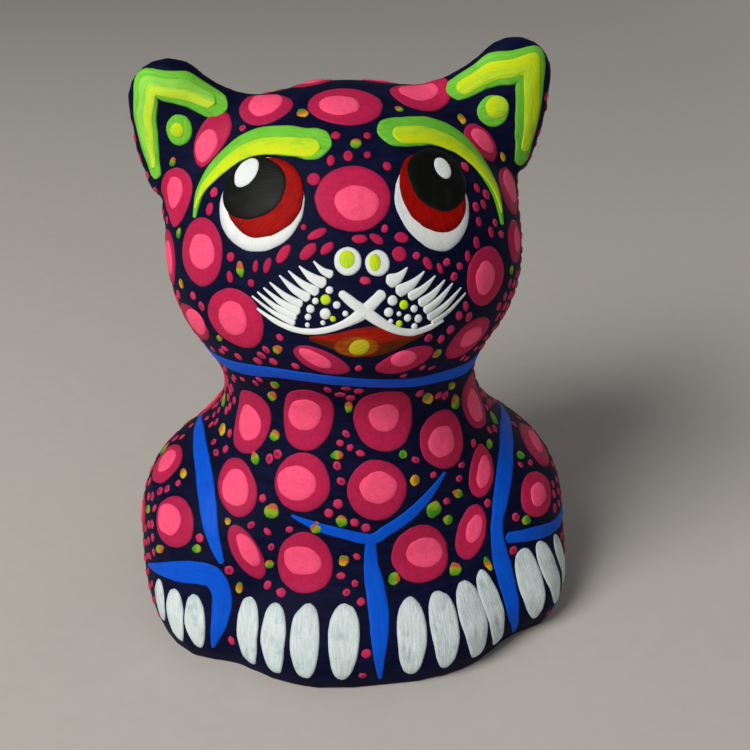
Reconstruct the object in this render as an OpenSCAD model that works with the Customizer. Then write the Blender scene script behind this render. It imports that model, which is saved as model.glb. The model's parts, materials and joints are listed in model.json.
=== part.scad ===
// Seated cat figure of fired clay, painted with raised dabs and strokes.
// The clay is two hollow halves, two ears, a tail and a base slab; every coat of paint is a thin
// solid that sits on the clay or on the coat below it.
// X runs to the cat's own left, -Y is the way it faces, Z is up and Z = 0 is the resting face.

/* [Head] */
// Width of the skull
head_w = 44.2; // [43.4:0.2:45]
// Depth of the skull, nose side to nape
head_d = 38; // [37:0.2:39]
// Height of the skull
head_h = 40; // [39:0.2:41]
// Height of the skull's centre above the table
head_z = 49.8; // [49:0.1:50.6]
// Width across the cheeks
cheek_w = 37; // [36:0.2:38]
// Width of the muzzle
muzzle_w = 17; // [15:0.5:19]
// How far the muzzle's centre is in front of the axis
muzzle_out = 16.5; // [16:0.1:17]

// How far the head sits to the cat's right of the upright axis
head_off = 0.4; // [0:0.1:0.8]

/* [Ears] */
// Distance of an ear's root centre from the middle plane
ear_root_x = 17.2; // [16.8:0.1:17.6]
// Height of an ear's root centre
ear_root_z = 63.4; // [62.8:0.1:64]
// Distance of an ear's tip centre from the middle plane
ear_tip_x = 20.7; // [20.3:0.1:21.1]
// Height of an ear's tip centre
ear_tip_z = 69; // [68.4:0.1:69.6]
// Height of the lower end of an ear's outer side
ear_side_z = 64; // [63.4:0.1:64.6]
// How much the left ear is raised, and the right ear lowered
ear_skew = 0.6; // [0:0.1:1]
// Half width of an ear at its root
ear_root_r = 8.3; // [7.9:0.1:8.7]
// Half width of an ear at its tip
ear_tip_r = 5.2; // [4.8:0.1:5.6]
// Thickness of an ear over its width
ear_flat = 0.46; // [0.42:0.01:0.5]

/* [Torso] */
// Width of the neck
neck_w = 28.6; // [27.6:0.2:29.6]
// Width of the chest
chest_w = 37.6; // [36.8:0.2:38.4]
// Depth of the chest
chest_d = 33; // [32:0.2:34]
// Height of the chest's blended top above the table
chest_top = 37.4; // [36.8:0.1:38]
// Width of the back
back_w = 34; // [33:0.2:35]
// Depth of the back
back_d = 32; // [31:0.2:33]
// Width of the rump at the table
rump_w = 39; // [38:0.2:40]

// How far the torso and the legs sit to the cat's left of the upright axis
torso_off = 0.6; // [0:0.1:1]

/* [Legs] */
// Distance of a haunch's centre from the middle plane
haunch_x = 15.7; // [15.2:0.1:16.2]
// Width of one haunch
haunch_w = 25.8; // [25:0.2:26.6]
// Height of one haunch
haunch_h = 20.6; // [20:0.2:21.4]
// Distance of a front paw's centre from the middle plane
front_paw_x = 5.9; // [5.4:0.1:6.4]
// Width of one front paw
front_paw_w = 27.4; // [26.8:0.2:28]
// Distance of a back paw's centre from the middle plane
back_paw_x = 21.4; // [21:0.1:21.8]
// Width of one back paw
back_paw_w = 15.4; // [14.8:0.2:16]

/* [Clay] */
// Thickness of the clay wall
wall = 3; // [2.6:0.1:3.4]
// Thickness of the base slab
slab_t = 3; // [2.5:0.1:4]
// Diameter of the vent hole that lets steam out in the kiln
vent_d = 7; // [5:0.5:9]

/* [Paint] */
// Thickness of one coat of a dab or a stroke
coat = 0.22; // [0.18:0.01:0.28]
// Width of the pink middle of a spot over the spot's own width
middle_share = 0.55; // [0.45:0.01:0.6]
// Diameter of a fine dot
fine_dot_d = 1.1; // [0.9:0.05:1.2]
// Clear space between a fine dot and the marks beside it
fine_gap = 0.2; // [0.15:0.05:0.4]
// Diameter of a green or yellow drop
drop_d = 1.8; // [1.5:0.05:2]

/* [Hidden] */

// Paint colours
navy = [0.04, 0.05, 0.18];
magenta = [0.78, 0.06, 0.34];
pink = [1, 0.33, 0.51];
green = [0.43, 0.78, 0.24];
lime = [0.85, 0.92, 0.1];
blue = [0, 0.31, 0.78];
red = [0.75, 0.07, 0.03];
orange = [0.85, 0.3, 0.02];
white = [0.94, 0.95, 0.94];
black = [0.03, 0.03, 0.03];

// How far the lumps of the body melt into each other, and the ears into the head, per mm
body_blend = 0.42;
ear_blend = 0.6;
// Depth to which an ear's fillet belongs to the head half
fillet_lift = 1.4;
// Paint starts this far off the clay
first_coat = 0.02;
// Grid of a clay half: bearings and heights outside, half as many inside
half_cols = 32;
half_rows = 38;

// ---- The modelled form: rounded lumps that melt into each other ----

// Each lump is [centre, half sizes]
LUMPS = [
    [[-head_off, -0.5, head_z], [head_w, head_d, head_h] / 2],
    [[-head_off, -5, 46.4], [cheek_w, 27, 18] / 2],
    [[-head_off, -muzzle_out, 46], [muzzle_w, 10, 11] / 2],
    [[0, 0, 35.1], [neck_w, 29, 24.6] / 2],
    [[torso_off, -3.5, 17], [chest_w / 2, chest_d / 2, chest_top - 17]],
    [[torso_off, 6, 13], [back_w / 2, back_d / 2, 25]],
    [[torso_off, 8, 4], [rump_w / 2, 13.5, 9]],
    for (side = [-1, 1]) [[torso_off + side * haunch_x, -1.7, 12.8], [haunch_w, 32, haunch_h] / 2],
    for (side = [-1, 1]) [[torso_off + side * front_paw_x, -13.5, 3], [front_paw_w / 2, 14.4, 8.3]],
    for (side = [-1, 1]) [[torso_off + side * back_paw_x, -2.2, 3.5], [back_paw_w / 2, 18.1, 8.8]]
];

function unit(v) = v / norm(v);

// Rough distance from a point to one lump's surface, negative inside
function lump_gap(p, lump) =
    let (q = p - lump[0], r = lump[1])
    let (a = norm([q.x / r.x, q.y / r.y, q.z / r.z]))
    let (b = norm([q.x / (r.x * r.x), q.y / (r.y * r.y), q.z / (r.z * r.z)]))
    a * (a - 1) / max(b, 1e-6);

function ear_root(side) = [side * ear_root_x - head_off, 0.3, ear_root_z + side * ear_skew];

function ear_tip(side) = [side * ear_tip_x - head_off, 0.2, ear_tip_z + side * ear_skew];

function ear_side(side) =
    [side * (ear_tip_x - 0.4) - head_off, 0.2, ear_side_z + side * ear_skew];

// Rough distance to a stick from a to b that tapers and is flat from front to back
function stick_gap(p, a, b, a_r, b_r) =
    let (squash = function (v) [v.x, v.y / ear_flat, v.z])
    let (q = squash(p - a), axis = squash(b - a))
    let (along = min(1, max(0, q * axis / (axis * axis))))
    0.8 * (norm(q - along * axis) - a_r - (b_r - a_r) * along);

// Rough distance to an ear: one stick from its root to its tip, another up its outer side
function ear_gap(p, side) =
    let (tip = ear_tip(side))
    min(stick_gap(p, ear_root(side), tip, ear_root_r, ear_tip_r),
        stick_gap(p, ear_side(side), tip, ear_tip_r, ear_tip_r));

// The least of some distances, with the corner between near ones filled
function melted(gaps, sharpness) =
    -ln([for (g = gaps) exp(-sharpness * g)] * [for (g = gaps) 1]) / sharpness;

function body_gap(p) = melted([for (lump = LUMPS) lump_gap(p, lump)], body_blend);

// Distance to the whole clay skin
function skin_gap(p) = melted([body_gap(p), ear_gap(p, -1), ear_gap(p, 1)], ear_blend);

// The same without the ears themselves: only their fillets
function shell_gap(p) =
    let (body = body_gap(p))
    max(melted([body, ear_gap(p, -1), ear_gap(p, 1)], ear_blend), body - fillet_lift);

// ---- Finding points on the skin ----

// Distance from a start point along a direction to where a shape's gap equals depth
function reach(from, dir, depth, low, high, shape, steps = 22) =
    let (mid = (low + high) / 2)
    steps == 0 ? mid
    : shape(from + dir * mid) < depth ? reach(from, dir, depth, mid, high, shape, steps - 1)
    : reach(from, dir, depth, low, mid, shape, steps - 1);

// Point on the skin straight out from the upright axis; bearing 0 is the face, 90 the cat's left
function around(bearing, height, r = 0.4, steps = 30) =
    let (p = [r * sin(bearing), -r * cos(bearing), height], gap = skin_gap(p))
    steps == 0 || abs(gap) < 0.003 ? p : around(bearing, height, r - gap * 0.85, steps - 1);

// Point on the skin straight in from the front, as seen in a front view
function facing(x, height, y = -32, steps = 40) =
    let (p = [x, y, height], gap = skin_gap(p))
    steps == 0 || abs(gap) < 0.003 ? p : facing(x, height, y + gap * 0.85, steps - 1);

function slope(p) =
    let (e = 0.02, here = skin_gap(p))
    [for (step = [[e, 0, 0], [0, e, 0], [0, 0, e]]) (skin_gap(p + step) - here) / e];

function normal(p) = unit(slope(p));

// The point moved along the slope until it is lift above the skin
function settled(p, lift, steps = 2) =
    steps == 0 ? p
    : let (s = slope(p)) settled(p - s * (skin_gap(p) - lift) / (s * s), lift, steps - 1);

// ---- Meshes: each is [points, triangles], and one node's meshes never touch each other ----

function starts(meshes) =
    [for (i = 0, n = 0; i < len(meshes); n = n + len(meshes[i][0]), i = i + 1) n];

module solid(meshes) {
    first = starts(meshes);
    polyhedron(
        points = [for (m = meshes) each m[0]],
        faces = [for (i = [0:len(meshes) - 1]) for (f = meshes[i][1]) [for (v = f) v + first[i]]]
    );
}

// A dab of paint: spot is [point, across, up, tilt], seen from outside
function dab(spot, base, sides, rings = 1) =
    let (p = spot[0], out = normal(p), east = unit(cross([0, 0, 1], out)), up = cross(out, east))
    let (e = east * cos(spot[3]) + up * sin(spot[3]), u = cross(out, e))
    let (edge = function (share, lift)
        [for (k = [0:sides - 1])
            let (a = 360 * k / sides)
            settled(p + share * (e * cos(a) * spot[1] + u * sin(a) * spot[2]) / 2, lift)])
    let (next = function (k) (k + 1) % sides, last = 2 * rings * sides - sides)
    rings == 1
    ? [[each edge(1, base), settled(p, base + coat * 1.6), settled(p, base)],
       [for (k = [0:sides - 1]) each [[sides, next(k), k], [sides + 1, k, next(k)]]]]
    : [[each edge(1, base), each edge(0.6, base + coat), each edge(0.6, base),
        settled(p, base + coat * 1.1), settled(p, base)],
       [for (k = [0:sides - 1]) let (o = k, o2 = next(k), m = sides + k, m2 = sides + next(k))
           each [[o, m, m2], [o, m2, o2], [last, m2, m],
                 [o, m2 + sides, m + sides], [o, o2, m2 + sides],
                 [last + 1, m + sides, m2 + sides]]]];

// Smooth curve through control points, per steps from each to the next
function curve(points, per) =
    let (n = len(points) - 1, at = function (i) points[min(n, max(0, i))])
    [for (i = [0:n - 1]) for (k = [0:per - 1])
        let (t = k / per, a = at(i - 1), b = at(i), c = at(i + 1), d = at(i + 2))
        0.5 * (2 * b + (c - a) * t + (2 * a - 5 * b + 4 * c - d) * t * t
               + (3 * b - a - 3 * c + d) * t * t * t),
     points[n]];

// Straight runs between control points, for a stroke that turns a sharp corner
function runs(points, per) =
    [for (i = [0:len(points) - 2]) for (k = [0:per - 1])
        points[i] + (points[i + 1] - points[i]) * k / per,
     points[len(points) - 1]];

// The places of a stroke's middle line on the skin, as [point, width]
function laid(line, on) = [for (s = line) [on(s[0], s[1]), s[2]]];

// A brush stroke: line is a list of [point, width]; both ends are rounded off
function stroke(line, base) =
    let (n = len(line) - 1, start = unit(line[1][0] - line[0][0]),
         end = unit(line[n][0] - line[n - 1][0]))
    let (full = [[line[0][0] - start * line[0][1] * 0.3, line[0][1] * 0.8], each line,
                 [line[n][0] + end * line[n][1] * 0.3, line[n][1] * 0.8]])
    let (m = n + 2)
    let (rows = [for (i = [0:m])
        let (p = full[i][0], before = unit(p - full[max(0, i - 1)][0] + (i == 0 ? start : [0, 0, 0])))
        let (after = unit(full[min(m, i + 1)][0] - p + (i == m ? end : [0, 0, 0])))
        let (along = unit(before + after), side = unit(cross(normal(p), along)))
        let (reach = full[i][1] / 2 / max(0.6, along * after))
        [settled(p + side * reach, base), settled(p, base + coat * 1.3),
         settled(p - side * reach, base), settled(p, base)]])
    let (tip = 4 * (m + 1), foot = 4 * m)
    [[for (row = rows) each row,
      settled(line[0][0] - start * line[0][1] * 0.5, base),
      settled(line[n][0] + end * line[n][1] * 0.5, base)],
     [for (i = [0:m - 1]) for (k = [0:3])
         let (a = 4 * i + k, b = 4 * i + (k + 1) % 4)
         each k < 2 ? [[a, a + 4, b + 4], [a, b + 4, b]] : [[a, a + 4, b], [b, a + 4, b + 4]],
      for (k = [0:3]) [tip, k, (k + 1) % 4],
      for (k = [0:3]) [tip + 1, foot + (k + 1) % 4, foot + k]]];

// ---- Clay ----

// Rings of points at a depth in the shell, one list of bearings per height, bottom ring first
function shell_grid(from, to, cols, rows, depth) =
    let (top = reach([0, 0, 0], [0, 0, 1], depth, head_z, 90, function (p) shell_gap(p)))
    [for (j = [0:rows]) let (z = top * sin(90 * j / rows))
        [for (i = [0:cols]) let (b = from + (to - from) * i / cols, dir = [sin(b), -cos(b), 0])
            j == rows ? [0, 0, top]
            : [0, 0, z] + dir * reach([0, 0, z], dir, depth, 0, 40, function (p) shell_gap(p))]];

// Triangles that close the strip between a fine row and one half as fine
function zip(fine, coarse, flip) =
    [for (k = [0:len(coarse) - 2])
        let (f = [fine[2 * k], fine[2 * k + 1], fine[2 * k + 2]], c = [coarse[k], coarse[k + 1]])
        each flip ? [[f[0], c[0], f[1]], [f[1], c[0], c[1]], [f[1], c[1], f[2]]]
                  : [[f[0], f[1], c[0]], [f[1], c[1], c[0]], [f[1], f[2], c[1]]]];

// One hollow half of the body, open below, from one bearing to another
function half_shell(from, to) =
    let (cols = half_cols, rows = half_rows, wide = cols / 2, tall = rows / 2)
    let (outer = shell_grid(from, to, cols, rows, 0), inner = shell_grid(from, to, wide, tall, -wall))
    let (o = function (i, j) j == rows ? rows * (cols + 1) : j * (cols + 1) + i)
    let (skip = rows * (cols + 1) + 1)
    let (n = function (i, j) skip + (j == tall ? tall * (wide + 1) : j * (wide + 1) + i))
    let (seam_out = [for (j = [0:rows]) o(0, j), for (j = [rows - 1:-1:0]) o(cols, j)])
    let (seam_in = [for (j = [0:tall]) n(0, j), for (j = [tall - 1:-1:0]) n(wide, j)])
    [[for (j = [0:rows - 1]) each outer[j], outer[rows][0],
      for (j = [0:tall - 1]) each inner[j], inner[tall][0]],
     [for (j = [0:rows - 2]) for (i = [0:cols - 1])
         each [[o(i, j), o(i, j + 1), o(i + 1, j + 1)], [o(i, j), o(i + 1, j + 1), o(i + 1, j)]],
      for (i = [0:cols - 1]) [o(i, rows - 1), o(0, rows), o(i + 1, rows - 1)],
      for (j = [0:tall - 2]) for (i = [0:wide - 1])
         each [[n(i, j), n(i + 1, j + 1), n(i, j + 1)], [n(i, j), n(i + 1, j), n(i + 1, j + 1)]],
      for (i = [0:wide - 1]) [n(i, tall - 1), n(i + 1, tall - 1), n(0, tall)],
      each zip([for (i = [0:cols]) o(i, 0)], [for (i = [0:wide]) n(i, 0)], false),
      each zip(seam_out, seam_in, true)]];

module front_half() {
    color(navy) solid([half_shell(-90, 90)]);
}

module back_half() {
    color(navy) solid([half_shell(90, 270)]);
}

module base_slab() {
    fit = 0.15;
    edge = [for (k = [0:half_cols - 1])
        let (b = 360 * k / half_cols, dir = [sin(b), -cos(b), 0])
        let (r = reach([0, 0, 0], dir, -wall, 0, 40, function (p) shell_gap(p)) - fit)
        [dir.x * r, dir.y * r]];
    color([0.62, 0.36, 0.24])
    difference() {
        linear_extrude(slab_t) polygon(edge);
        translate([0, 9, -1]) cylinder(h = slab_t + 2, d = vent_d, $fn = 48);
    }
}

// An ear: rings round its own axis, with a root that tapers and is pressed through the head's wall
function ear_mesh(side, rings = 14, sides = 20) =
    let (root = ear_root(side), tip = ear_tip(side))
    let (axis = unit(tip - root), deep = unit([0, 1, 0] - axis * axis.y), wide = cross(deep, axis))
    let (skin = function (p) skin_gap(p))
    let (start = -4.5, top = reach(root, axis, 0, 6, 24, skin))
    [[for (j = [0:rings - 1]) let (s = start + (top - start) * sin(90 * j / rings))
        let (tuck = j == 0 ? 0.8 : j == 1 ? 0.93 : 1)
        for (k = [0:sides - 1])
            let (a = 360 * k / sides, dir = wide * cos(a) + deep * sin(a))
            let (most = j > 2 ? 13 : 1 / norm([cos(a) / 10.5, sin(a) / 6.5]))
            root + axis * s + dir * tuck * reach(root + axis * s, dir, 0, 0, most, skin),
      root + axis * start, root + axis * top],
     [for (j = [0:rings - 2]) for (k = [0:sides - 1])
         let (a = j * sides + k, b = j * sides + (k + 1) % sides)
         each [[a, a + sides, b + sides], [a, b + sides, b]],
      for (k = [0:sides - 1]) let (b = (k + 1) % sides, high = (rings - 1) * sides)
         each [[rings * sides, k, b], [rings * sides + 1, high + b, high + k]]]];

module ear(side) {
    color(navy) solid([ear_mesh(side)]);
}

// Route of the tail on the skin: bearing, height and thickness
TAIL = [[182, 5.5, 7], [172, 5, 7.2], [160, 4.4, 7], [146, 4.2, 6.6], [132, 4.6, 6], [122, 6.2, 5.4],
        [117, 9, 4.4]];

// Round bar, half sunk in the skin, that tapers to a rounded end
function tail_mesh(sides = 12) =
    let (line = laid(curve(TAIL, 3), function (b, z) around(b, z)), n = len(line) - 1)
    let (along = [for (i = [0:n]) unit(line[min(n, i + 1)][0] - line[max(0, i - 1)][0])])
    let (ring = function (i, shift, share)
        let (p = settled(line[i][0], -0.8) + along[i] * shift, out = normal(p))
        let (side = unit(cross(out, along[i])), up = cross(along[i], side))
        [for (k = [0:sides - 1]) let (a = 360 * k / sides)
            p + (side * cos(a) + up * sin(a) * 0.75) * line[i][1] / 2 * share])
    let (rings = [ring(0, -line[0][1] * 0.35, 0.72), for (i = [0:n]) ring(i, 0, 1),
                  ring(n, line[n][1] * 0.35, 0.72)])
    let (m = n + 2, tips = (m + 1) * sides)
    [[for (r = rings) each r, line[0][0] - along[0] * line[0][1] * 0.5,
      line[n][0] + along[n] * line[n][1] * 0.5],
     [for (j = [0:m - 1]) for (k = [0:sides - 1])
         let (a = j * sides + k, b = j * sides + (k + 1) % sides)
         each [[a, a + sides, b + sides], [a, b + sides, b]],
      for (k = [0:sides - 1]) let (b = (k + 1) % sides)
         each [[tips, k, b], [tips + 1, m * sides + b, m * sides + k]]]];

module tail() {
    color(navy) solid([tail_mesh()]);
}

// ---- Paint plan: front-view places are [x, height, ...], the others [bearing, height, ...] ----

// Eyes: x, height, width, height of the shape and tilt, right eye first
EYE_WHITES = [[-11.9, 60.2, 10.9, 11.4, 0], [7.9, 59.9, 9.6, 11.2, 5]];
IRISES = [[-11.5, 60.8, 9.6, 9.6, 0], [8, 60.9, 8.6, 9.8, 5]];
PUPILS = [[-12.5, 61.4, 8.2, 7.6, 20], [8.6, 62, 7.8, 7.8, 0]];
GLINTS = [[-13, 62.6, 2.8, 3.8, -12], [9.2, 62.8, 2.2, 2.7, 0]];

// Brows: x, height and width of the stroke, outer end first
BROWS_GREEN = [
    [[-19.2, 57, 0.6], [-18.5, 59.3, 1.6], [-16.8, 61.7, 2.6], [-14.5, 63.8, 3.5], [-11.9, 65.4, 4],
     [-9.2, 66, 4.2], [-5.4, 66, 4.3]],
    [[17, 55.4, 0.6], [16.6, 58.4, 1.9], [15.2, 61.2, 2.9], [13.1, 63.7, 3.7], [10.8, 65.4, 4.2],
     [8, 66.3, 4.6], [4.1, 66.7, 4.3]]
];
BROWS_LIME = [
    [[-19, 57.8, 0.3], [-17.9, 60, 1.2], [-15.9, 62.2, 1.8], [-13.5, 64.1, 2.2], [-11.2, 65.1, 2.4],
     [-8.8, 65.5, 2.5], [-5.9, 65.6, 2.6]],
    [[16.9, 56.5, 0.3], [16.3, 59.1, 1.3], [14.7, 61.5, 1.9], [12.5, 63.6, 2.3], [10.4, 64.9, 2.5],
     [7.8, 65.9, 2.7], [5, 66.3, 2.6]]
];

// Ears: a bent stroke, outer arm first, and a dot
EARS_GREEN = [
    [[-23.7, 60.5, 2], [-24.1, 63.4, 2.6], [-24.4, 67, 3.1], [-23.9, 71.1, 3.2], [-19.5, 70.5, 4],
     [-16.3, 68.7, 3.8]],
    [[21.7, 60.6, 2.7], [22, 63.4, 3.5], [22.2, 67, 3.9], [22.2, 71.8, 4], [17.3, 71.3, 4.1],
     [13.4, 69.4, 3.4]]
];
EARS_LIME = [
    [[-23.8, 61.4, 1.1], [-24.2, 64.2, 1.8], [-24.3, 67.3, 2], [-23.5, 70.8, 2], [-19.5, 70.3, 2.4],
     [-16.9, 69, 2]],
    [[21.9, 61.8, 1.4], [22.4, 64.3, 2.1], [22.5, 67.2, 2.3], [22.1, 71.8, 2.2], [17.5, 71.1, 2.3],
     [14, 69.4, 2]]
];
EAR_DOTS = [[-20.4, 65.7, 3.1, 3.7, 0], [17.4, 66.6, 4.1, 3.8, 10]];
EAR_DOT_CENTRES = [[-20.6, 65.7, 1.7, 1.8, 0], [17.9, 67, 3, 2.8, 0]];

// Small dashes of the face, drawn round the eyes and over the nose: tilt turns them anticlockwise
FACE_DASHES = [
    [-12.8, 53.7, 0.7, 1.4, 0], [-11.5, 54, 0.9, 1.9, -12], [-9.7, 55.4, 1.2, 2.5, -28],
    [-7, 55.9, 1.3, 2.5, -42], [-5.9, 57.7, 1, 2.4, -62], [-4.9, 56.3, 1, 1.9, -45],
    [-7.3, 58.3, 0.7, 0.7, 0], [-15.5, 54.1, 1.1, 1.1, 0], [-15.7, 51.9, 0.9, 1.4, 20],
    [-13.4, 51.8, 0.9, 0.9, 0], [-17.5, 58.3, 1.2, 1.6, 15], [-5.8, 62.9, 1.5, 1.5, 0],
    [-1.2, 57.2, 1.8, 1, 0], [0.7, 57.1, 1, 1.8, 55], [3.6, 57, 1.7, 1.2, -20],
    [3.2, 55.4, 1.7, 1.7, 0], [6.5, 54, 1, 1.6, 20], [8, 53.2, 0.7, 1.3, 10],
    [11.7, 53.6, 0.8, 1.4, -10], [13, 54.7, 1, 1.5, -10], [13.5, 56.7, 0.9, 1.2, 0],
    [13.7, 60, 0.9, 1.2, 0], [14.4, 58.2, 0.9, 1.2, 0], [15.2, 55.1, 0.9, 1.4, 0],
    [2.6, 63.9, 1, 1.1, 0], [0.5, 65, 0.9, 0.9, 0], [-1.7, 65, 1.1, 1.4, 0],
    [-2.8, 66.7, 1.1, 1.1, 0], [0.8, 66.6, 0.9, 1, 0], [-3.7, 64.6, 0.9, 1.4, 0]
];

// Nose, mouth and muzzle
NOSE_SPOTS = [[-2.7, 55, 3.1, 3.2, 0], [0.6, 54.7, 2.8, 3, 0]];
NOSE_SPOT_CENTRES = [[-2.8, 55.2, 1.8, 2.1, 0], [0.3, 54.8, 1.4, 2, 0]];
MOUTH = [[-7.1, 46.6, 0.6], [-5, 46.4, 1.9], [-2.5, 46.2, 3.6], [-0.4, 46.2, 4.1], [1.7, 46.2, 3.2],
         [3.9, 46.3, 1.4], [5.5, 46.4, 0.6]];
MOUTH_ORANGE = [[-2.1, 45.8, 5.4, 2.8, 0]];
TONGUE_DOT = [[-1.8, 45.7, 2.5, 2.1, 20]];
LIP_RIGHT = [[0.8, 51.5, 1.1], [-0.3, 50.6, 1.2], [-1.7, 49.5, 1.3], [-3.8, 48.4, 0.8], [-6.2, 47.6, 0.7],
             [-8.6, 47.4, 0.7], [-10.9, 48, 0.6], [-12.8, 49, 0.3]];
LIP_LEFT = [[-3.5, 51.7, 0.9], [-2.4, 50.8, 1.1], [-1, 49.8, 1.2], [0.9, 48.4, 1], [2.6, 47.4, 0.9],
            [4.3, 46.9, 0.8], [6.2, 47, 0.7], [8.1, 47.4, 0.4]];
// Whiskers: thick root, middle and fine tip
WHISKERS_RIGHT = [
    [[-4.7, 53.7], [-6.4, 54.9], 0.7], [[-5.6, 52.8], [-8, 54.3], 0.9], [[-6.4, 51.9], [-9.2, 53.7], 0.8],
    [[-7.4, 51.2], [-10.2, 53.1], 0.8], [[-8.2, 50.4], [-11.3, 52.2], 0.7],
    [[-8.5, 49.6], [-12, 51.5], 0.7], [[-8.9, 48.9], [-12.7, 50.9], 0.7],
    [[-9, 48.2], [-13.3, 50.3], 0.5]
];
WHISKERS_LEFT = [
    [[2, 52.8], [4, 53.9], 1.1], [[3, 51.7], [6, 53.2], 1], [[4.3, 51], [7.3, 52.5], 0.8],
    [[5.5, 50.1], [8.5, 51.8], 0.8], [[6.1, 49.2], [9.5, 51.2], 0.8], [[6.5, 48.3], [10.6, 50.4], 0.7],
    [[6.9, 47.6], [11.2, 49.6], 0.5]
];
MUZZLE_DOTS_WHITE = [
    [-4.9, 52.1, 0.9], [-6.5, 50.9, 0.8], [-7.1, 50, 1], [-4.2, 50.6, 0.9], [-5.5, 49.6, 1.3],
    [-3.3, 49.7, 0.7], [-7.4, 49.1, 0.8], [-7.5, 48.2, 0.6], [-5.8, 48.6, 0.6],
    [2.1, 50.8, 1.2], [1.6, 49.6, 1.1], [4.6, 49.6, 0.9], [2.8, 49.3, 0.6], [3.8, 48.7, 0.9],
    [5.1, 48.4, 1], [1.8, 48.6, 0.6], [4.6, 47.6, 0.8]
];
MUZZLE_DOTS_LIME = [[-5.4, 51.1, 1.2], [-4.7, 49.1, 0.7], [3.4, 50.2, 1.1], [2.8, 48.2, 0.8]];

// Blue lines: bearing, height and width
COLLAR = [[-176, 37, 0.5], [-150, 37, 1.4], [-120, 37, 1.9], [-90, 37.2, 2.1], [-68, 37.6, 2.3],
          [-51, 38.5, 2.5], [-34.7, 39.8, 2.2], [-20.5, 40.3, 2.1], [-7.3, 40, 2.2], [5.7, 39.1, 2.2],
          [18.6, 38, 2], [34.3, 37.1, 2.1], [53.6, 35.9, 2.3], [72, 36, 2], [90, 36.6, 1.9],
          [120, 37, 1.8], [150, 37, 1.4], [176, 37, 0.5]];
// The fork on the chest and its stem, in the front view
CHEST_FORK = [[-9.4, 20.2, 0.4], [-6.4, 19.1, 1.2], [-3, 18.2, 1.4], [0.2, 17.4, 1.5], [2, 18.3, 1.6],
              [4.8, 19.8, 1.6], [7.4, 21.7, 1.3], [10, 24.1, 0.4]];
CHEST_STEM = [[0.1, 16.6, 1.4], [0.1, 13.8, 1.9], [0.4, 11.4, 2.5], [0.5, 9.3, 2.6], [0.3, 7.2, 2.2],
              [0.1, 4.8, 1.4], [0.2, 1.8, 0.5]];
LEG_LINES = [
    [[-100, 22.8, 1], [-85, 23.4, 2.1], [-70, 22.6, 2.5], [-59.4, 20.6, 2.6], [-52.8, 18, 2.2],
     [-48.6, 15.6, 1.5], [-46.4, 14.1, 0.9]],
    [[92, 23, 1], [74.2, 23.4, 2.5], [63, 22.4, 2.6], [55.2, 20.9, 2.6], [49.2, 19, 2.3],
     [44.7, 16.7, 1.8], [42.8, 14.2, 1.9], [42.5, 10.7, 2.5], [41.7, 7.9, 2.4], [40.6, 5, 1.9],
     [41.2, 1.8, 0.6]]
];
FOOT_BANDS = [
    [[-73, 7.6, 0.5], [-63.7, 9.9, 1.9], [-57, 11.2, 2.8], [-52, 11.9, 3], [-47.8, 11.8, 2.9],
     [-45, 10.2, 2.6], [-43.7, 8.3, 2.6], [-43.1, 6.1, 2], [-43.7, 3.4, 0.5]],
    [[98, 9.6, 0.5], [84, 10.4, 1.2], [72, 11.2, 1.5], [62.5, 12.1, 1.6], [54, 13.3, 1.8],
     [46.4, 14.1, 1.5]]
];

// Claws: bearing, height, width, length and tilt
CLAWS_FRONT = [
    [[-35.2, 5.9, 2.9, 10, 11], [-27.6, 6, 3.4, 10.2, 10], [-19.1, 6.3, 3.8, 10.8, 4],
     [-9, 6.5, 3.9, 11.4, -3]],
    [[9.2, 6.4, 3.7, 11.6, -4], [18.3, 6.4, 3.9, 11.6, -6], [27.3, 6.2, 4, 11.8, -6],
     [34.7, 6.2, 3.2, 11.6, -4]]
];
CLAWS_BACK = [
    [[-62.8, 5.5, 3, 5.6, 25], [-55.3, 5.6, 3.5, 7.2, 20], [-48.6, 6, 3, 7.8, 14]],
    [[47.4, 7.1, 3.8, 11.2, 6], [54.8, 7.2, 3.4, 10.6, 5], [62.2, 6.9, 2.6, 9.2, 6]]
];

// Big spots: bearing, height, width, length and tilt
HEAD_SPOTS = [
    [-10.5, 69, 8.8, 7.8, -20], [-5.5, 61.2, 8.6, 7.7, 3], [-73.8, 68, 6.8, 5.8, 10],
    [-77.3, 64.8, 3.9, 7.1, -21], [-79.8, 57.8, 5.6, 7.2, 5], [-60, 53.5, 7.4, 8.2, 12],
    [-44, 46.8, 8.2, 8, 27], [-66.5, 43.4, 7.6, 5.4, 15], [-82, 49.8, 7, 7, 0],
    [-15.7, 43.4, 7, 3.7, -26], [9.9, 42.9, 7.5, 4, 11], [36.4, 42.8, 7.8, 6, 0],
    [42.3, 50.4, 7.2, 7, 0], [72.5, 57.4, 6.4, 5.8, 15], [72, 63.3, 4.2, 5.6, 30],
    [77.8, 68.7, 8.4, 6.4, 24], [63.5, 52.2, 4.8, 5.4, -20]
];
CHEST_SPOTS = [
    [-53.4, 30, 6.6, 9.6, -10], [-24.4, 33.1, 6.5, 10.4, -10], [-50.3, 22.1, 5.4, 8, 38],
    [-25.4, 24.5, 7.2, 7.8, -12], [-40.4, 15.4, 3.4, 7.8, 30], [-22.4, 14, 7, 8.4, 3],
    [7.3, 33, 7.5, 10, 11], [33.6, 28.1, 7.2, 7.6, 20], [60, 29.6, 6.8, 7.8, 14],
    [3.1, 23.8, 7.5, 8, 16], [47.2, 22.3, 4.2, 7, -36], [18, 14.3, 7.4, 8.4, 16],
    [36.2, 15.8, 4, 7.4, -20]
];
HAUNCH_SPOTS = [
    [-85, 19.6, 7.8, 6, 22], [-64.6, 16.4, 8, 6.6, 0], [-86, 11.6, 6.2, 5.6, 0],
    [79.4, 20, 8.2, 6, 15], [61, 17.3, 7.4, 5.8, 8], [92, 14.2, 5, 5, 0]
];
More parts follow.
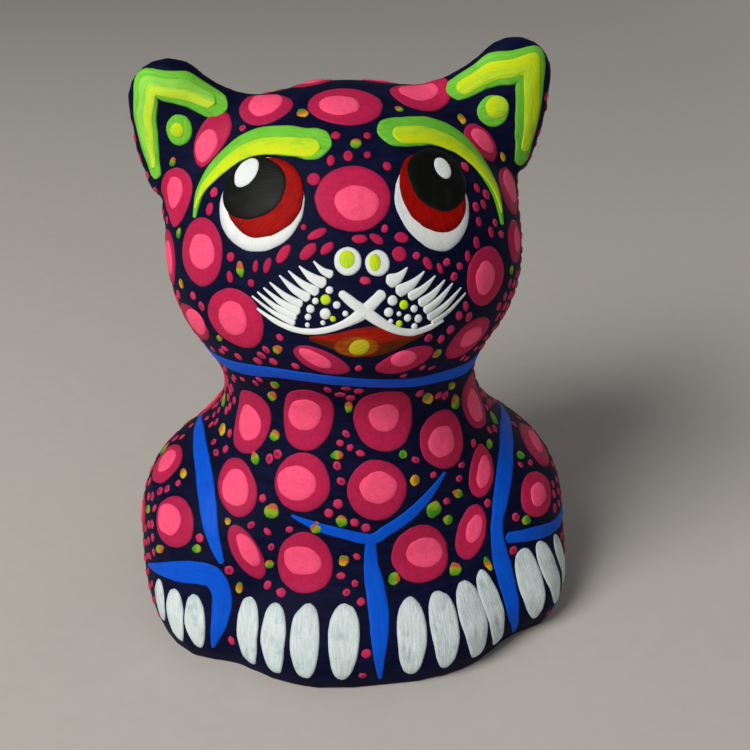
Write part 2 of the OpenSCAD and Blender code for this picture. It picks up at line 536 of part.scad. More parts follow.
// The pink middle of each spot above, in the same order
HEAD_MIDDLES = [
    [-16.6, 68.9, 4.9, 3.9, -12], [-4, 60.7, 5, 4.1, 0], [-77.4, 68.2, 4.2, 4.4, 10],
    [-77.2, 64, 2.7, 4.1, -13], [-80.8, 58.2, 2.6, 4.2, -4], [-58.8, 53.7, 4.4, 4.2, -14],
    [-44.8, 46.9, 4.1, 4.7, -25], [-63.2, 44, 5, 3.6, 35], [-79.5, 50.2, 3.2, 4.2, 30],
    [-17.1, 43.9, 4.2, 2, -30], [9, 43.5, 3.3, 2.4, -10], [37, 43.1, 4.6, 2.9, -20],
    [41.2, 50.5, 3.6, 4, -16], [74.5, 57.6, 4, 4.3, 5], [72.8, 63.4, 2.6, 3.9, 38],
    [79, 68.8, 5, 3.7, 13], [64.3, 52.3, 2.1, 3.2, -20]
];
CHEST_MIDDLES = [
    [-54.2, 29.5, 4.1, 5, 0], [-25.8, 33.3, 4.1, 5.4, -26], [-50.7, 22, 3.9, 4.9, 30],
    [-27.4, 24.4, 5.3, 4.4, 13], [-39.8, 15.6, 2.2, 4.7, 32], [-23.3, 14.5, 4.9, 3.8, -14],
    [7.2, 33, 3.7, 4.4, 20], [32.3, 27.9, 4.4, 4, -20], [59.2, 29.2, 3.9, 4.9, 14],
    [3.8, 24.2, 4.9, 4.1, -7], [47.6, 22.1, 2.3, 4.5, -40], [19.4, 14.6, 5, 4.1, -12],
    [37.3, 16.2, 2.2, 3.8, -26]
];
HAUNCH_MIDDLES = [
    [-85, 19.8, 4.3, 3.6, 20], [-66.2, 16.4, 5, 4, 10], [-86.6, 11.6, 3.2, 3.2, 0],
    [80.4, 20, 4.8, 2.9, 8], [60.6, 17.2, 3.8, 2.9, 15], [92, 14.2, 2.6, 2.6, 0]
];

// Rows of spots round the sides and the back: height, first and last bearing, count, width, length
BACK_ROWS = [
    [68.8, 132, 228, 2, 5.4, 4.8], [65.4, 112, 248, 5, 6.2, 5.4], [58.6, 100, 260, 7, 6.6, 6.4],
    [50, 88, 256, 8, 6.8, 6.6], [43, 92, 270, 8, 5.8, 4.6], [32, 96, 266, 7, 6.6, 8],
    [23.8, 112, 250, 5, 7, 7.4], [14.6, 114, 250, 6, 6.6, 6.6]
];

// Drops of the front: bearing, height, width, length and tilt
FRONT_DROPS_GREEN = [
    [-40, 35, 1.3, 2, -37], [-84, 28.2, 2.2, 1.7, 0], [-39.5, 29.3, 1.4, 1.6, -14],
    [-46.7, 25.8, 1.2, 1.8, 34], [-78.5, 14.6, 1.8, 1.2, 20], [-35.3, 20.4, 1.9, 2, 0],
    [-19.2, 19, 1.6, 1.6, 0], [-9.9, 20, 1.3, 1.6, 0], [-12, 28.3, 1.5, 1.2, 5],
    [-53.8, 14.9, 1.5, 1.1, 18], [-66.9, 12, 2.2, 1.2, 30], [-33.4, 13.9, 1.1, 1.2, 0],
    [-7.4, 34.8, 1, 1.9, 0], [45, 31.6, 1.9, 2.1, 25], [72, 25.2, 1.6, 2.2, -36],
    [57.4, 24.2, 1.6, 1.1, 20], [14.4, 27.8, 1.1, 1.1, 0], [66.6, 21.2, 1.5, 1.2, 0],
    [24.3, 20, 2.1, 2.2, 0], [29.2, 18.1, 1.4, 1.2, -30], [34.7, 21, 1.5, 1.2, -30],
    [52.6, 15.4, 1.6, 1.2, -20], [7.6, 12.1, 1.6, 1.6, 0], [28.4, 11.7, 1.6, 1.9, -20],
    [-42.9, 53, 1, 1.7, 19], [-29.6, 44.2, 1.1, 1.6, -40],
    [21.4, 42.8, 1.5, 1.4, -20], [-52.6, 43.2, 0.8, 1.3, -40],
    [-82, 61.9, 0.8, 1.2, -20], [-73.6, 54.1, 1.2, 1.3, 20], [-3, 66, 1.3, 1.4, 0],
    [40.6, 68.2, 1, 1.1, 0], [57.4, 49.3, 1, 1.3, -20]
];
FRONT_DROPS_YELLOW = [
    [-36.4, 37.3, 1.1, 1.7, -40], [-71.4, 26.2, 1.9, 1.5, 0], [-72.6, 20.8, 1.8, 1.2, -10],
    [-48.1, 18.6, 0.8, 1, 20], [-40.6, 10.8, 1, 1.5, 0], [-9.2, 14.6, 1.3, 1.5, 0],
    [27.6, 34.2, 1.5, 2.2, 40], [18, 24.4, 1.4, 1.4, 0], [38.6, 11.4, 0.9, 2, 18],
    [41.6, 34.4, 1.6, 1.1, -37], [-68.8, 48.4, 1.2, 1.2, 0], [-45, 68.2, 1.7, 1.3, -30],
    [72.8, 66, 1, 1.4, 8], [77.6, 61.1, 0.9, 1.2, 20]
];

// Spots of the paint plan on the skin, as [point, across, up, tilt]
function placed(plan, on) = [for (s = plan) [on(s[0], s[1]), s[2], s[3], s[4]]];

function on_front(plan) = placed(plan, function (x, z) facing(x, z));

function on_round(plan) = placed(plan, function (b, z) around(b, z));

function back_spots_plan() =
    [for (row = BACK_ROWS) for (k = [0:row[3] - 1])
        let (b = row[1] + (row[2] - row[1]) * k / (row[3] - 1), sway = sin(k * 137 + row[0] * 31))
        [b + sway * 2, row[0] + sway * 0.4, row[4] * (1 + 0.06 * sway), row[5], 12 * sway]];

// The smaller pink middle of each spot, a little off its centre
function middles(spots) =
    [for (i = [0:len(spots) - 1]) let (s = spots[i], out = normal(s[0]))
        let (east = unit(cross([0, 0, 1], out)), up = cross(out, east), turn = i * 137.5)
        let (move = (east * cos(turn) * s[1] + up * sin(turn) * s[2]) * 0.06)
        [settled(s[0] + move, 0), s[1] * middle_share, s[2] * middle_share, s[3]]];

module dabs(spots, level, sides, rings = 1) {
    solid([for (s = spots) dab(s, first_coat + level * coat, sides, rings)]);
}

module strokes(lines, level) {
    solid([for (line = lines) stroke(line, first_coat + level * coat)]);
}

function front_line(plan, per = 2) = laid(curve(plan, per), function (x, z) facing(x, z));

function round_line(plan, per = 2) = laid(curve(plan, per), function (b, z) around(b, z));

function bent_line(plan, per = 2) = laid(runs(plan, per), function (x, z) facing(x, z));

// Whisker: its root is thick and its tip fine, and it bows downwards between them
function whisker_line(w) =
    let (mid = (w[0] + w[1]) / 2 - [0, 0.25])
    front_line([[w[0].x, w[0].y, w[2]], [mid.x, mid.y, w[2] * 0.8], [w[1].x, w[1].y, 0.2]]);

// ---- Face ----

module eye_white(i) {
    color(white) dabs([on_front(EYE_WHITES)[i]], 0, 26, 2);
}

module iris(i) {
    color(red) dabs([on_front(IRISES)[i]], 1.5, 24, 2);
}

module pupil(i) {
    color(black) dabs([on_front(PUPILS)[i]], 3, 22, 2);
}

module eye_glint(i) {
    color(white) dabs([on_front(GLINTS)[i]], 4.5, 12);
}

module brow_green(i) {
    color(green) strokes([front_line(BROWS_GREEN[i])], 0);
}

module brow_lime(i) {
    color(lime) strokes([front_line(BROWS_LIME[i])], 1.5);
}

module ear_green(i) {
    color(green) strokes([bent_line(EARS_GREEN[i])], 0);
}

module ear_lime(i) {
    color(lime) strokes([bent_line(EARS_LIME[i])], 1.5);
}

module ear_dot(i) {
    color(green) dabs([on_front(EAR_DOTS)[i]], 0, 14);
}

module ear_dot_centre(i) {
    color(lime) dabs([on_front(EAR_DOT_CENTRES)[i]], 1.8, 12);
}

module nose_spots() {
    color(white) dabs(on_front(NOSE_SPOTS), 0, 14);
}

module nose_spot_centres() {
    color(lime) dabs(on_front(NOSE_SPOT_CENTRES), 1.8, 12);
}

module mouth_red() {
    color(red) strokes([front_line(MOUTH)], 0);
}

module mouth_orange() {
    color(orange) dabs(on_front(MOUTH_ORANGE), 1.5, 16);
}

module tongue_dot() {
    color(lime) dabs(on_front(TONGUE_DOT), 3.2, 12);
}

// The two lip lines cross, so the left one lies over the right one
module lip_line(line, level) {
    color(white) strokes([front_line(line)], level);
}

module whiskers(plan) {
    color(white) strokes([for (w = plan) whisker_line(w)], 0);
}

function round_dots(plan) = on_front([for (d = plan) [d[0], d[1], d[2], d[2], 0]]);

module muzzle_dots_white() {
    color(white) dabs(round_dots(MUZZLE_DOTS_WHITE), 0, 8);
}

module muzzle_dots_lime() {
    color(lime) dabs(round_dots(MUZZLE_DOTS_LIME), 0, 8);
}

// ---- Lines and claws ----

module collar_line() {
    color(blue) strokes([round_line(COLLAR)], 0);
}

module chest_fork() {
    color(blue) strokes([front_line(CHEST_FORK)], 1.5);
}

module chest_stem() {
    color(blue) strokes([front_line(CHEST_STEM)], 0);
}

module leg_line(i) {
    color(blue) strokes([round_line(LEG_LINES[i])], 0);
}

module foot_band(i) {
    color(blue) strokes([round_line(FOOT_BANDS[i])], 0);
}

module claws(plan) {
    color(white) dabs(on_round(plan), 0, 16);
}

// ---- Spots ----

module spots(plan) {
    color(magenta) dabs(on_round(plan), 0, 16);
}

module spot_centres(plan) {
    color(pink) dabs(on_round(plan), 1.8, 12);
}

module back_spot_centres() {
    color(pink) dabs(middles(on_round(back_spots_plan())), 1.8, 12);
}

// ---- Dots in the gaps, along a spiral: first the drops, then the fine dots ----

dot_turn = 137.508;
drop_count = 640;
dot_count = 3300;

function all_spots() =
    [each on_front([each EYE_WHITES, each PUPILS, each IRISES, each EAR_DOTS, each NOSE_SPOTS,
                    each FACE_DASHES]),
     each round_dots([each MUZZLE_DOTS_WHITE, each MUZZLE_DOTS_LIME]),
     each on_round([each CLAWS_FRONT[0], each CLAWS_FRONT[1], each CLAWS_BACK[0], each CLAWS_BACK[1],
                    each HEAD_SPOTS, each CHEST_SPOTS, each HAUNCH_SPOTS, each back_spots_plan()])];

function all_lines() =
    [for (plan = [each BROWS_GREEN, LIP_RIGHT, LIP_LEFT, CHEST_FORK, CHEST_STEM, MOUTH])
        each front_line(plan, 3),
     for (plan = EARS_GREEN) each bent_line(plan, 3),
     for (plan = [COLLAR, each LEG_LINES, each FOOT_BANDS]) each round_line(plan, 4),
     for (w = [each WHISKERS_RIGHT, each WHISKERS_LEFT]) each whisker_line(w),
     each laid(curve(TAIL, 3), function (b, z) around(b, z))];

// Is the point outside the spot's outline, with room for a dot?
function clear_of_spot(p, spot, room) =
    let (d = p - spot[0])
    norm(d) > max(spot[1], spot[2]) / 2 + room
    || (let (out = normal(spot[0]), east = unit(cross([0, 0, 1], out)), up = cross(out, east))
        let (e = east * cos(spot[3]) + up * sin(spot[3]), u = cross(out, e))
        norm([d * e / (spot[1] / 2 + room), d * u / (spot[2] / 2 + room)]) > 1);

// The places of an uneven spiral that have room round them, each with its number on the spiral.
// Where the body is thin its turns crowd, so fewer of them are kept
function free_places(count, room, spots, lines) =
    [for (i = [0:count - 1])
        let (z = 2 + 66.5 * (i + 0.5) / count + 0.16 * sin(i * 61.7))
        let (p = around(i * dot_turn + 0.7 * sin(i * 97.3), z))
        if ((i * 0.4142) % 1 < norm([p.x, p.y]) / 21
            && min([for (l = lines) norm(p - l[0]) - l[1] / 2]) > room
            && min([for (s = spots) clear_of_spot(p, s, room) ? 1 : 0]) == 1)
        [p, i]];

// Drops of the sides and the back
function back_drops() =
    [for (f = free_places(drop_count, drop_d / 2 + 0.15, all_spots(), all_lines())) if (f[0].y > 2)
        [f[0], drop_d * (1 + 0.1 * sin(f[1] * 71)), drop_d * (1 + 0.1 * sin(f[1] * 53)), f[1] * 29]];

function drops() = [each on_round([each FRONT_DROPS_GREEN, each FRONT_DROPS_YELLOW]), each back_drops()];

// Fine dots crowd the gaps of the front and are sparser on the back
function fine_dots() =
    let (spots = [each all_spots(), each drops()])
    [for (f = free_places(dot_count, fine_dot_d / 2 + fine_gap, spots, all_lines()))
        if (f[0].y < 2.6 || f[1] % 3 == 0)
        [f[0], fine_dot_d * (1 + 0.15 * sin(f[1] * 71)), fine_dot_d * (1 + 0.25 * sin(f[1] * 53)),
         f[1] * 29]];

// Every third drop of the back is yellow, the others are green
function drops_of(yellow) =
    let (back = back_drops())
    [each on_round(yellow ? FRONT_DROPS_YELLOW : FRONT_DROPS_GREEN),
     for (i = [0:len(back) - 1]) if ((i % 3 == 1) == yellow) back[i]];

module face_dashes() {
    color(magenta) dabs(on_front(FACE_DASHES), 0, 8);
}

module fine_dots() {
    color(magenta) dabs(fine_dots(), 0, 5);
}

module drops_green() {
    color(green) dabs(drops_of(false), 0, 6);
}

module drops_yellow() {
    color(orange) dabs(drops_of(true), 0, 6);
}

front_half();
back_half();
base_slab();
ear(1);  // ear_left
ear(-1);  // ear_right
tail();
eye_white(1);  // eye_white_left
eye_white(0);  // eye_white_right
iris(1);  // iris_left
iris(0);  // iris_right
pupil(1);  // pupil_left
pupil(0);  // pupil_right
eye_glint(1);  // eye_glint_left
eye_glint(0);  // eye_glint_right
brow_green(1);  // brow_green_left
brow_green(0);  // brow_green_right
brow_lime(1);  // brow_lime_left
brow_lime(0);  // brow_lime_right
ear_green(1);  // ear_green_left
ear_green(0);  // ear_green_right
ear_lime(1);  // ear_lime_left
ear_lime(0);  // ear_lime_right
ear_dot(1);  // ear_dot_left
ear_dot(0);  // ear_dot_right
ear_dot_centre(1);  // ear_dot_centre_left
ear_dot_centre(0);  // ear_dot_centre_right
nose_spots();
nose_spot_centres();
mouth_red();
mouth_orange();
tongue_dot();
lip_line(LIP_LEFT, 1.5);  // lip_line_left
lip_line(LIP_RIGHT, 0);  // lip_line_right
whiskers(WHISKERS_LEFT);  // whiskers_left
whiskers(WHISKERS_RIGHT);  // whiskers_right
muzzle_dots_white();
muzzle_dots_lime();
collar_line();
chest_fork();
chest_stem();
leg_line(1);  // leg_line_left
leg_line(0);  // leg_line_right
foot_band(1);  // foot_band_left
foot_band(0);  // foot_band_right
claws(CLAWS_FRONT[1]);  // claws_front_left
claws(CLAWS_FRONT[0]);  // claws_front_right
claws(CLAWS_BACK[1]);  // claws_back_left
claws(CLAWS_BACK[0]);  // claws_back_right
spots(HEAD_SPOTS);  // head_spots
spot_centres(HEAD_MIDDLES);  // head_spot_centres
spots(CHEST_SPOTS);  // chest_spots
spot_centres(CHEST_MIDDLES);  // chest_spot_centres
spots(HAUNCH_SPOTS);  // haunch_spots
spot_centres(HAUNCH_MIDDLES);  // haunch_spot_centres
spots(back_spots_plan());  // back_spots
back_spot_centres();
face_dashes();
fine_dots();
drops_green();
drops_yellow();
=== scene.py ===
"""Painted seated cat figure of fired clay: the looks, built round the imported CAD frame.

The clay halves, ears and tail become one smooth skin that is cut back into its pieces. Every dab and
stroke of paint takes its outline from its CAD solid and is laid on that skin as a thin relief.
Lengths in this script are millimetres unless a name says otherwise; the meshes are in metres.
"""

import json
import math
import random

import bmesh
import bpy
import numpy as np
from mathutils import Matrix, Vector, noise
from mathutils.bvhtree import BVHTree


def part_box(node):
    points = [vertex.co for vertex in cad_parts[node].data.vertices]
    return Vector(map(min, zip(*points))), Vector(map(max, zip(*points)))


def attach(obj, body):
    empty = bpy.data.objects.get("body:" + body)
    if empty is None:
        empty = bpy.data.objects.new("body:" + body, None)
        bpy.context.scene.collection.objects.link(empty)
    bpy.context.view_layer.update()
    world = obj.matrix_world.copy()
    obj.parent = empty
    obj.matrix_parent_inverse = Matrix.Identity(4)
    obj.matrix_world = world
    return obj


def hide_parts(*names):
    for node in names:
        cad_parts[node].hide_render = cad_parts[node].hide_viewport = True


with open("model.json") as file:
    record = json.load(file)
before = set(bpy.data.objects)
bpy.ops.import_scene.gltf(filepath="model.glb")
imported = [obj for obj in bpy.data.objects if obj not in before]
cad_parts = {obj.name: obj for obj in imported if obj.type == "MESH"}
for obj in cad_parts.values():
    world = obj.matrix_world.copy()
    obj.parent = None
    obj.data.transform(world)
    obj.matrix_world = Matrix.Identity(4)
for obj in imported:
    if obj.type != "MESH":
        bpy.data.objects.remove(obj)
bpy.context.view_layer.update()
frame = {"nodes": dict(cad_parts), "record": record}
MM = 0.001
RECORD_SLOTS = {s["node"]: s["material_slot"] for s in frame["record"]["subparts"]}
HALVES = ("front_half", "back_half")
CLAY_NODES = HALVES + ("ear_left", "ear_right", "tail")

# ---------------------------------------------------------------- camera, floor and lights

# From the cat's right front, looking down, with a 58 mm lens
CAMERA_AZIMUTH = -8.0
CAMERA_ELEVATION = 26.86
CAMERA_DISTANCE = 161.3
CAMERA_TARGET_Z = 35.0
CAMERA_LENS = 58.0
CAMERA_SHIFT = (0.037, -0.045)
CLIP_M = (0.01, 10)
LIGHTS_AIM_M = (0, 0, 0.04)
FLOOR_SIZE_M = 6


def camera():
    azimuth, elevation = math.radians(CAMERA_AZIMUTH), math.radians(CAMERA_ELEVATION)
    back = Vector((math.sin(azimuth) * math.cos(elevation),
                   -math.cos(azimuth) * math.cos(elevation), math.sin(elevation)))
    data = bpy.data.cameras.new("camera")
    data.lens = CAMERA_LENS
    data.shift_x, data.shift_y = CAMERA_SHIFT
    data.clip_start, data.clip_end = CLIP_M
    cam = bpy.data.objects.new("camera", data)
    cam.location = Vector((0, 0, CAMERA_TARGET_Z * MM)) + back * CAMERA_DISTANCE * MM
    cam.rotation_euler = (-back).to_track_quat("-Z", "Y").to_euler()
    bpy.context.collection.objects.link(cam)
    bpy.context.scene.camera = cam
    bpy.context.scene.view_settings.view_transform = "Standard"


def area_light(name, place, size, watts, colour):
    """A square soft light, place and size in metres, that looks at the middle of the figure."""
    data = bpy.data.lights.new(name, "AREA")
    data.size = size
    data.energy = watts
    data.color = colour
    lamp = bpy.data.objects.new(name, data)
    lamp.location = place
    aim = Vector(LIGHTS_AIM_M) - Vector(place)
    lamp.rotation_euler = aim.to_track_quat("-Z", "Y").to_euler()
    bpy.context.collection.objects.link(lamp)


def studio():
    bpy.ops.mesh.primitive_plane_add(size=FLOOR_SIZE_M, location=(0, 0, 0))
    floor = bpy.context.object
    floor.name = "floor"
    floor.data.materials.append(floor_material())
    world = bpy.data.worlds.new("world")
    bpy.context.scene.world = world
    world.use_nodes = True
    sky = world.node_tree.nodes["Background"]
    sky.inputs["Color"].default_value = (0.95, 0.97, 1.0, 1)
    sky.inputs["Strength"].default_value = 0.13
    area_light("key", (-0.40, -0.28, 0.46), 0.30, 3.9, (1.0, 0.98, 0.95))
    area_light("fill", (0.10, -0.55, 0.25), 0.4, 0.28, (0.97, 0.98, 1.0))
    area_light("rim", (0.45, 0.40, 0.20), 0.35, 0.3, (1.0, 1.0, 1.0))


# ---------------------------------------------------------------- materials

class Shader:
    """A node material with a Principled shader, and short ways to add the nodes used here."""

    def __init__(self, name, roughness, specular):
        self.material = bpy.data.materials.new(name)
        self.material.use_nodes = True
        self.tree = self.material.node_tree
        self.principled = self.tree.nodes["Principled BSDF"]
        self.give("Roughness", roughness)
        self.give("Specular IOR Level", specular)

    def give(self, name, value):
        """Feeds an input of the Principled shader."""
        self.feed(self.principled.inputs[name], value)

    def feed(self, socket, value):
        """Links another node's output to the socket, or sets its value. A colour is a tuple of three."""
        if isinstance(value, bpy.types.NodeSocket):
            self.tree.links.new(value, socket)
        elif isinstance(value, tuple):
            socket.default_value = (*value, 1)
        else:
            socket.default_value = value

    def math(self, operation, a, b):
        made = self.tree.nodes.new("ShaderNodeMath")
        made.operation = operation
        self.feed(made.inputs[0], a)
        self.feed(made.inputs[1], b)
        return made.outputs[0]

    def mix(self, share, a, b):
        """Colour a where share is 0, colour b where it is 1."""
        made = self.tree.nodes.new("ShaderNodeMix")
        made.data_type = "RGBA"
        self.feed(made.inputs[0], share)
        self.feed(made.inputs[6], a)
        self.feed(made.inputs[7], b)
        return made.outputs[2]

    def ramp(self, value, low, high):
        """0 below low, 1 above high, smooth between."""
        made = self.tree.nodes.new("ShaderNodeMapRange")
        made.interpolation_type = "SMOOTHSTEP"
        self.feed(made.inputs["Value"], value)
        made.inputs["From Min"].default_value = low
        made.inputs["From Max"].default_value = high
        return made.outputs["Result"]

    def place(self, stretch=(1, 1, 1), painted=False):
        """Coordinates in millimetres: of the object, or along and across a brush mark."""
        made = self.tree.nodes.new("ShaderNodeMapping")
        made.inputs["Scale"].default_value = stretch if painted else tuple(s / MM for s in stretch)
        if painted:
            source = self.tree.nodes.new("ShaderNodeUVMap")
            source.uv_map = "brush"
            self.feed(made.inputs["Vector"], source.outputs["UV"])
        else:
            source = self.tree.nodes.new("ShaderNodeTexCoord")
            self.feed(made.inputs["Vector"], source.outputs["Object"])
        return made.outputs["Vector"]

    def noise(self, place, scale, detail=3.0, rough=0.55):
        made = self.tree.nodes.new("ShaderNodeTexNoise")
        self.feed(made.inputs["Vector"], place)
        made.inputs["Scale"].default_value = scale
        made.inputs["Detail"].default_value = detail
        made.inputs["Roughness"].default_value = rough
        return made.outputs["Fac"]

    def cells(self, place, scale):
        made = self.tree.nodes.new("ShaderNodeTexVoronoi")
        self.feed(made.inputs["Vector"], place)
        made.inputs["Scale"].default_value = scale
        return made.outputs["Distance"]

    def tone(self):
        """Of a paint mark: how near its edge, a random number of its own, and how far to one side."""
        source = self.tree.nodes.new("ShaderNodeVertexColor")
        source.layer_name = "tone"
        split = self.tree.nodes.new("ShaderNodeSeparateColor")
        self.feed(split.inputs[0], source.outputs["Color"])
        return split.outputs[0], split.outputs[1], split.outputs[2]

    def bump(self, height, depth_mm, strength=1.0):
        made = self.tree.nodes.new("ShaderNodeBump")
        made.inputs["Strength"].default_value = strength
        made.inputs["Distance"].default_value = depth_mm * MM
        self.feed(made.inputs["Height"], height)
        self.give("Normal", made.outputs["Normal"])


def floor_material():
    s = Shader("floor", 0.6, specular=0.3)
    s.give("Base Color", s.mix(s.noise(s.place(), 0.4, 4), (0.53, 0.50, 0.46), (0.58, 0.55, 0.51)))
    return s.material


NAVY = (0.0018, 0.0028, 0.018)
NAVY_THIN = (0.0048, 0.0064, 0.034)
NAVY_WORN = (0.012, 0.015, 0.052)
NAVY_ROUGHNESS = 0.5
TERRACOTTA = (0.36, 0.16, 0.085)
TERRACOTTA_DARK = (0.22, 0.085, 0.045)
TERRACOTTA_PALE = (0.46, 0.27, 0.17)
BARE_ROUGHER = 0.4
# The ground coat ends where the surface turns down this far (the normal's height, all bare to all painted)
BARE_BELOW = (-0.82, -0.62)


def clay_colour(s):
    """Bare fired clay with pale patches, and the grain that its bumps follow."""
    grain = s.noise(s.place(), 2.2, 5, 0.65)
    patches = s.noise(s.place(), 0.14, 2)
    clay = s.mix(s.ramp(grain, 0.35, 0.7), TERRACOTTA_DARK, TERRACOTTA)
    return s.mix(s.math("MULTIPLY", patches, 0.35), clay, TERRACOTTA_PALE), grain


def navy_clay_material():
    """Satin ground coat over the clay, brushed on unevenly, and bare clay under the foot."""
    s = Shader("navy_clay", NAVY_ROUGHNESS, specular=0.06)
    brush = s.noise(s.place((0.35, 0.35, 1.6)), 0.8, 4, 0.6)
    speck = s.noise(s.place(), 3.5, 4, 0.7)
    paint = s.mix(s.ramp(brush, 0.35, 0.75), NAVY, NAVY_THIN)
    paint = s.mix(s.ramp(speck, 0.66, 0.8), paint, NAVY_WORN)
    clay, _ = clay_colour(s)
    geometry = s.tree.nodes.new("ShaderNodeNewGeometry")
    split = s.tree.nodes.new("ShaderNodeSeparateXYZ")
    s.feed(split.inputs[0], geometry.outputs["Normal"])
    edge = s.math("ADD", split.outputs[2], s.math("MULTIPLY", brush, 0.25))
    under = s.math("SUBTRACT", 1.0, s.ramp(edge, *BARE_BELOW))
    s.give("Base Color", s.mix(under, paint, clay))
    rougher = s.math("ADD", s.math("MULTIPLY", under, BARE_ROUGHER), NAVY_ROUGHNESS)
    s.give("Roughness", s.math("ADD", s.math("MULTIPLY", brush, 0.22), rougher))
    lumps = s.noise(s.place(), 0.55, 3, 0.5)
    height = s.math("ADD", s.math("MULTIPLY", lumps, 0.7), s.math("MULTIPLY", brush, 0.3))
    s.bump(s.math("ADD", height, s.math("MULTIPLY", speck, 0.15)), 0.10, 0.8)
    return s.material


def bare_clay_material():
    s = Shader("bare_clay", 0.88, specular=0.25)
    clay, grain = clay_colour(s)
    pits = s.ramp(s.cells(s.place(), 1.1), 0.0, 0.28)
    s.give("Base Color", s.mix(pits, TERRACOTTA_DARK, clay))
    s.bump(s.math("ADD", s.math("MULTIPLY", grain, 0.6), pits), 0.12)
    return s.material


# Acrylic paints. body is the colour, thin shows where the coat is thin, rich where the brush left more.
# streak is how strongly the brush shows, pin how many pinholes there are, edge how far the thin colour
# shows at a mark's edge, vary how much one mark differs from the next, and depth the grooves' depth in
# millimetres. A stroke whose brush held two colours also has across, the colour on its other side.
# Dabbed paint has blots in place of streaks, and grain is how strongly its dried surface is speckled.
PAINTS = {
    "white_paint": dict(body=(0.78, 0.81, 0.79), thin=(0.32, 0.36, 0.43), rich=(0.88, 0.90, 0.88),
                        streak=0.5, pin=0.8, roughness=0.5, edge=0.3, vary=0.08, depth=0.07),
    "claw_paint": dict(body=(0.62, 0.71, 0.70), thin=(0.30, 0.40, 0.44), rich=(0.80, 0.88, 0.87),
                       streak=0.9, pin=1.0, roughness=0.5, edge=0.3, vary=0.12, depth=0.09, grain=0.3),
    "red_paint": dict(body=(0.29, 0.002, 0.0005), thin=(0.055, 0.0008, 0.0004), rich=(0.46, 0.003, 0.001),
                      streak=0.8, pin=0.2, roughness=0.6, edge=0.4, vary=0.1),
    "mouth_paint": dict(body=(0.25, 0.008, 0.002), thin=(0.06, 0.006, 0.001), rich=(0.46, 0.010, 0.003),
                        across=(0.10, 0.018, 0.002),
                        streak=0.9, pin=0.2, roughness=0.5, edge=0.5, vary=0.1),
    "black_paint": dict(body=(0.004, 0.004, 0.004), thin=(0.016, 0.018, 0.014), rich=(0.003, 0.003, 0.003),
                        streak=0.5, pin=0.7, roughness=0.42, edge=0.2, vary=0.1),
    "green_paint": dict(body=(0.15, 0.56, 0.035), thin=(0.06, 0.30, 0.02), rich=(0.28, 0.68, 0.08),
                        streak=0.7, pin=0.2, roughness=0.44, edge=0.3, vary=0.2, depth=0.07),
    "lime_paint": dict(body=(0.48, 0.72, 0.022), thin=(0.24, 0.56, 0.03), rich=(0.66, 0.84, 0.035),
                       across=(0.62, 0.76, 0.010),
                       streak=0.85, pin=0.3, roughness=0.44, edge=0.3, vary=0.1, depth=0.08),
    "mint_paint": dict(body=(0.27, 0.70, 0.07), thin=(0.20, 0.62, 0.05), rich=(0.36, 0.78, 0.11),
                       across=(0.66, 0.90, 0.05),
                       streak=0.8, pin=0.3, roughness=0.44, edge=0.4, vary=0.1, depth=0.08),
    "orange_paint": dict(body=(0.27, 0.055, 0.003), thin=(0.16, 0.016, 0.002), rich=(0.42, 0.12, 0.004),
                         streak=0.9, pin=0.2, roughness=0.5, edge=0.9, vary=0.1),
    "yellow_paint": dict(body=(0.50, 0.42, 0.012), thin=(0.36, 0.16, 0.006), rich=(0.56, 0.58, 0.03),
                         streak=0.7, pin=0.2, roughness=0.45, edge=0.5, vary=0.2),
    "blue_paint": dict(body=(0.001, 0.085, 0.62), thin=(0.002, 0.045, 0.36), rich=(0.002, 0.12, 0.74),
                       streak=0.5, pin=0.15, roughness=0.5, edge=0.3, vary=0.1),
    "pink_paint": dict(body=(0.97, 0.088, 0.205), thin=(0.72, 0.035, 0.12), rich=(1.0, 0.135, 0.285),
                       streak=0.4, pin=0.9, roughness=0.5, edge=0.2, vary=0.12, depth=0.09,
                       dabbed=True, grain=0.35),
    "magenta_paint": dict(body=(0.50, 0.013, 0.070), thin=(0.24, 0.014, 0.062), rich=(0.66, 0.022, 0.095),
                          streak=0.5, pin=0.5, roughness=0.5, edge=0.35, vary=0.4,
                          dabbed=True, grain=0.22),
}
# Small wet dots. The second colour, and a third beyond it, runs into the first from one side. hollow is
# how strongly the dark colour shows in the middle of those dots that dried hollow.
WET_DOTS = {
    "fine_dots": dict(first=(0.50, 0.022, 0.088), second=(0.60, 0.032, 0.11),
                      dark=(0.13, 0.012, 0.050), hollow=0.75),
    "drops_green": dict(first=(0.055, 0.27, 0.014), second=(0.27, 0.42, 0.018), third=(0.50, 0.11, 0.03),
                        dark=(0.02, 0.09, 0.014), hollow=0.3),
    "drops_yellow": dict(first=(0.60, 0.42, 0.018), second=(0.60, 0.12, 0.022), third=(0.06, 0.25, 0.015),
                         dark=(0.10, 0.22, 0.015), hollow=0.4),
}
PAINT_SPECULAR = 0.08
PINHOLE_EDGE = 0.07


def pinholes(s, pin):
    """Groups of small round holes, 1 in a hole and 0 between them."""
    holes = s.ramp(s.cells(s.place(), 1.6), 0.05 * pin, 0.05 * pin + PINHOLE_EDGE)
    groups = s.ramp(s.noise(s.place(), 0.5, 2), 0.45, 0.6)
    return s.math("MULTIPLY", s.math("SUBTRACT", 1.0, holes), groups)


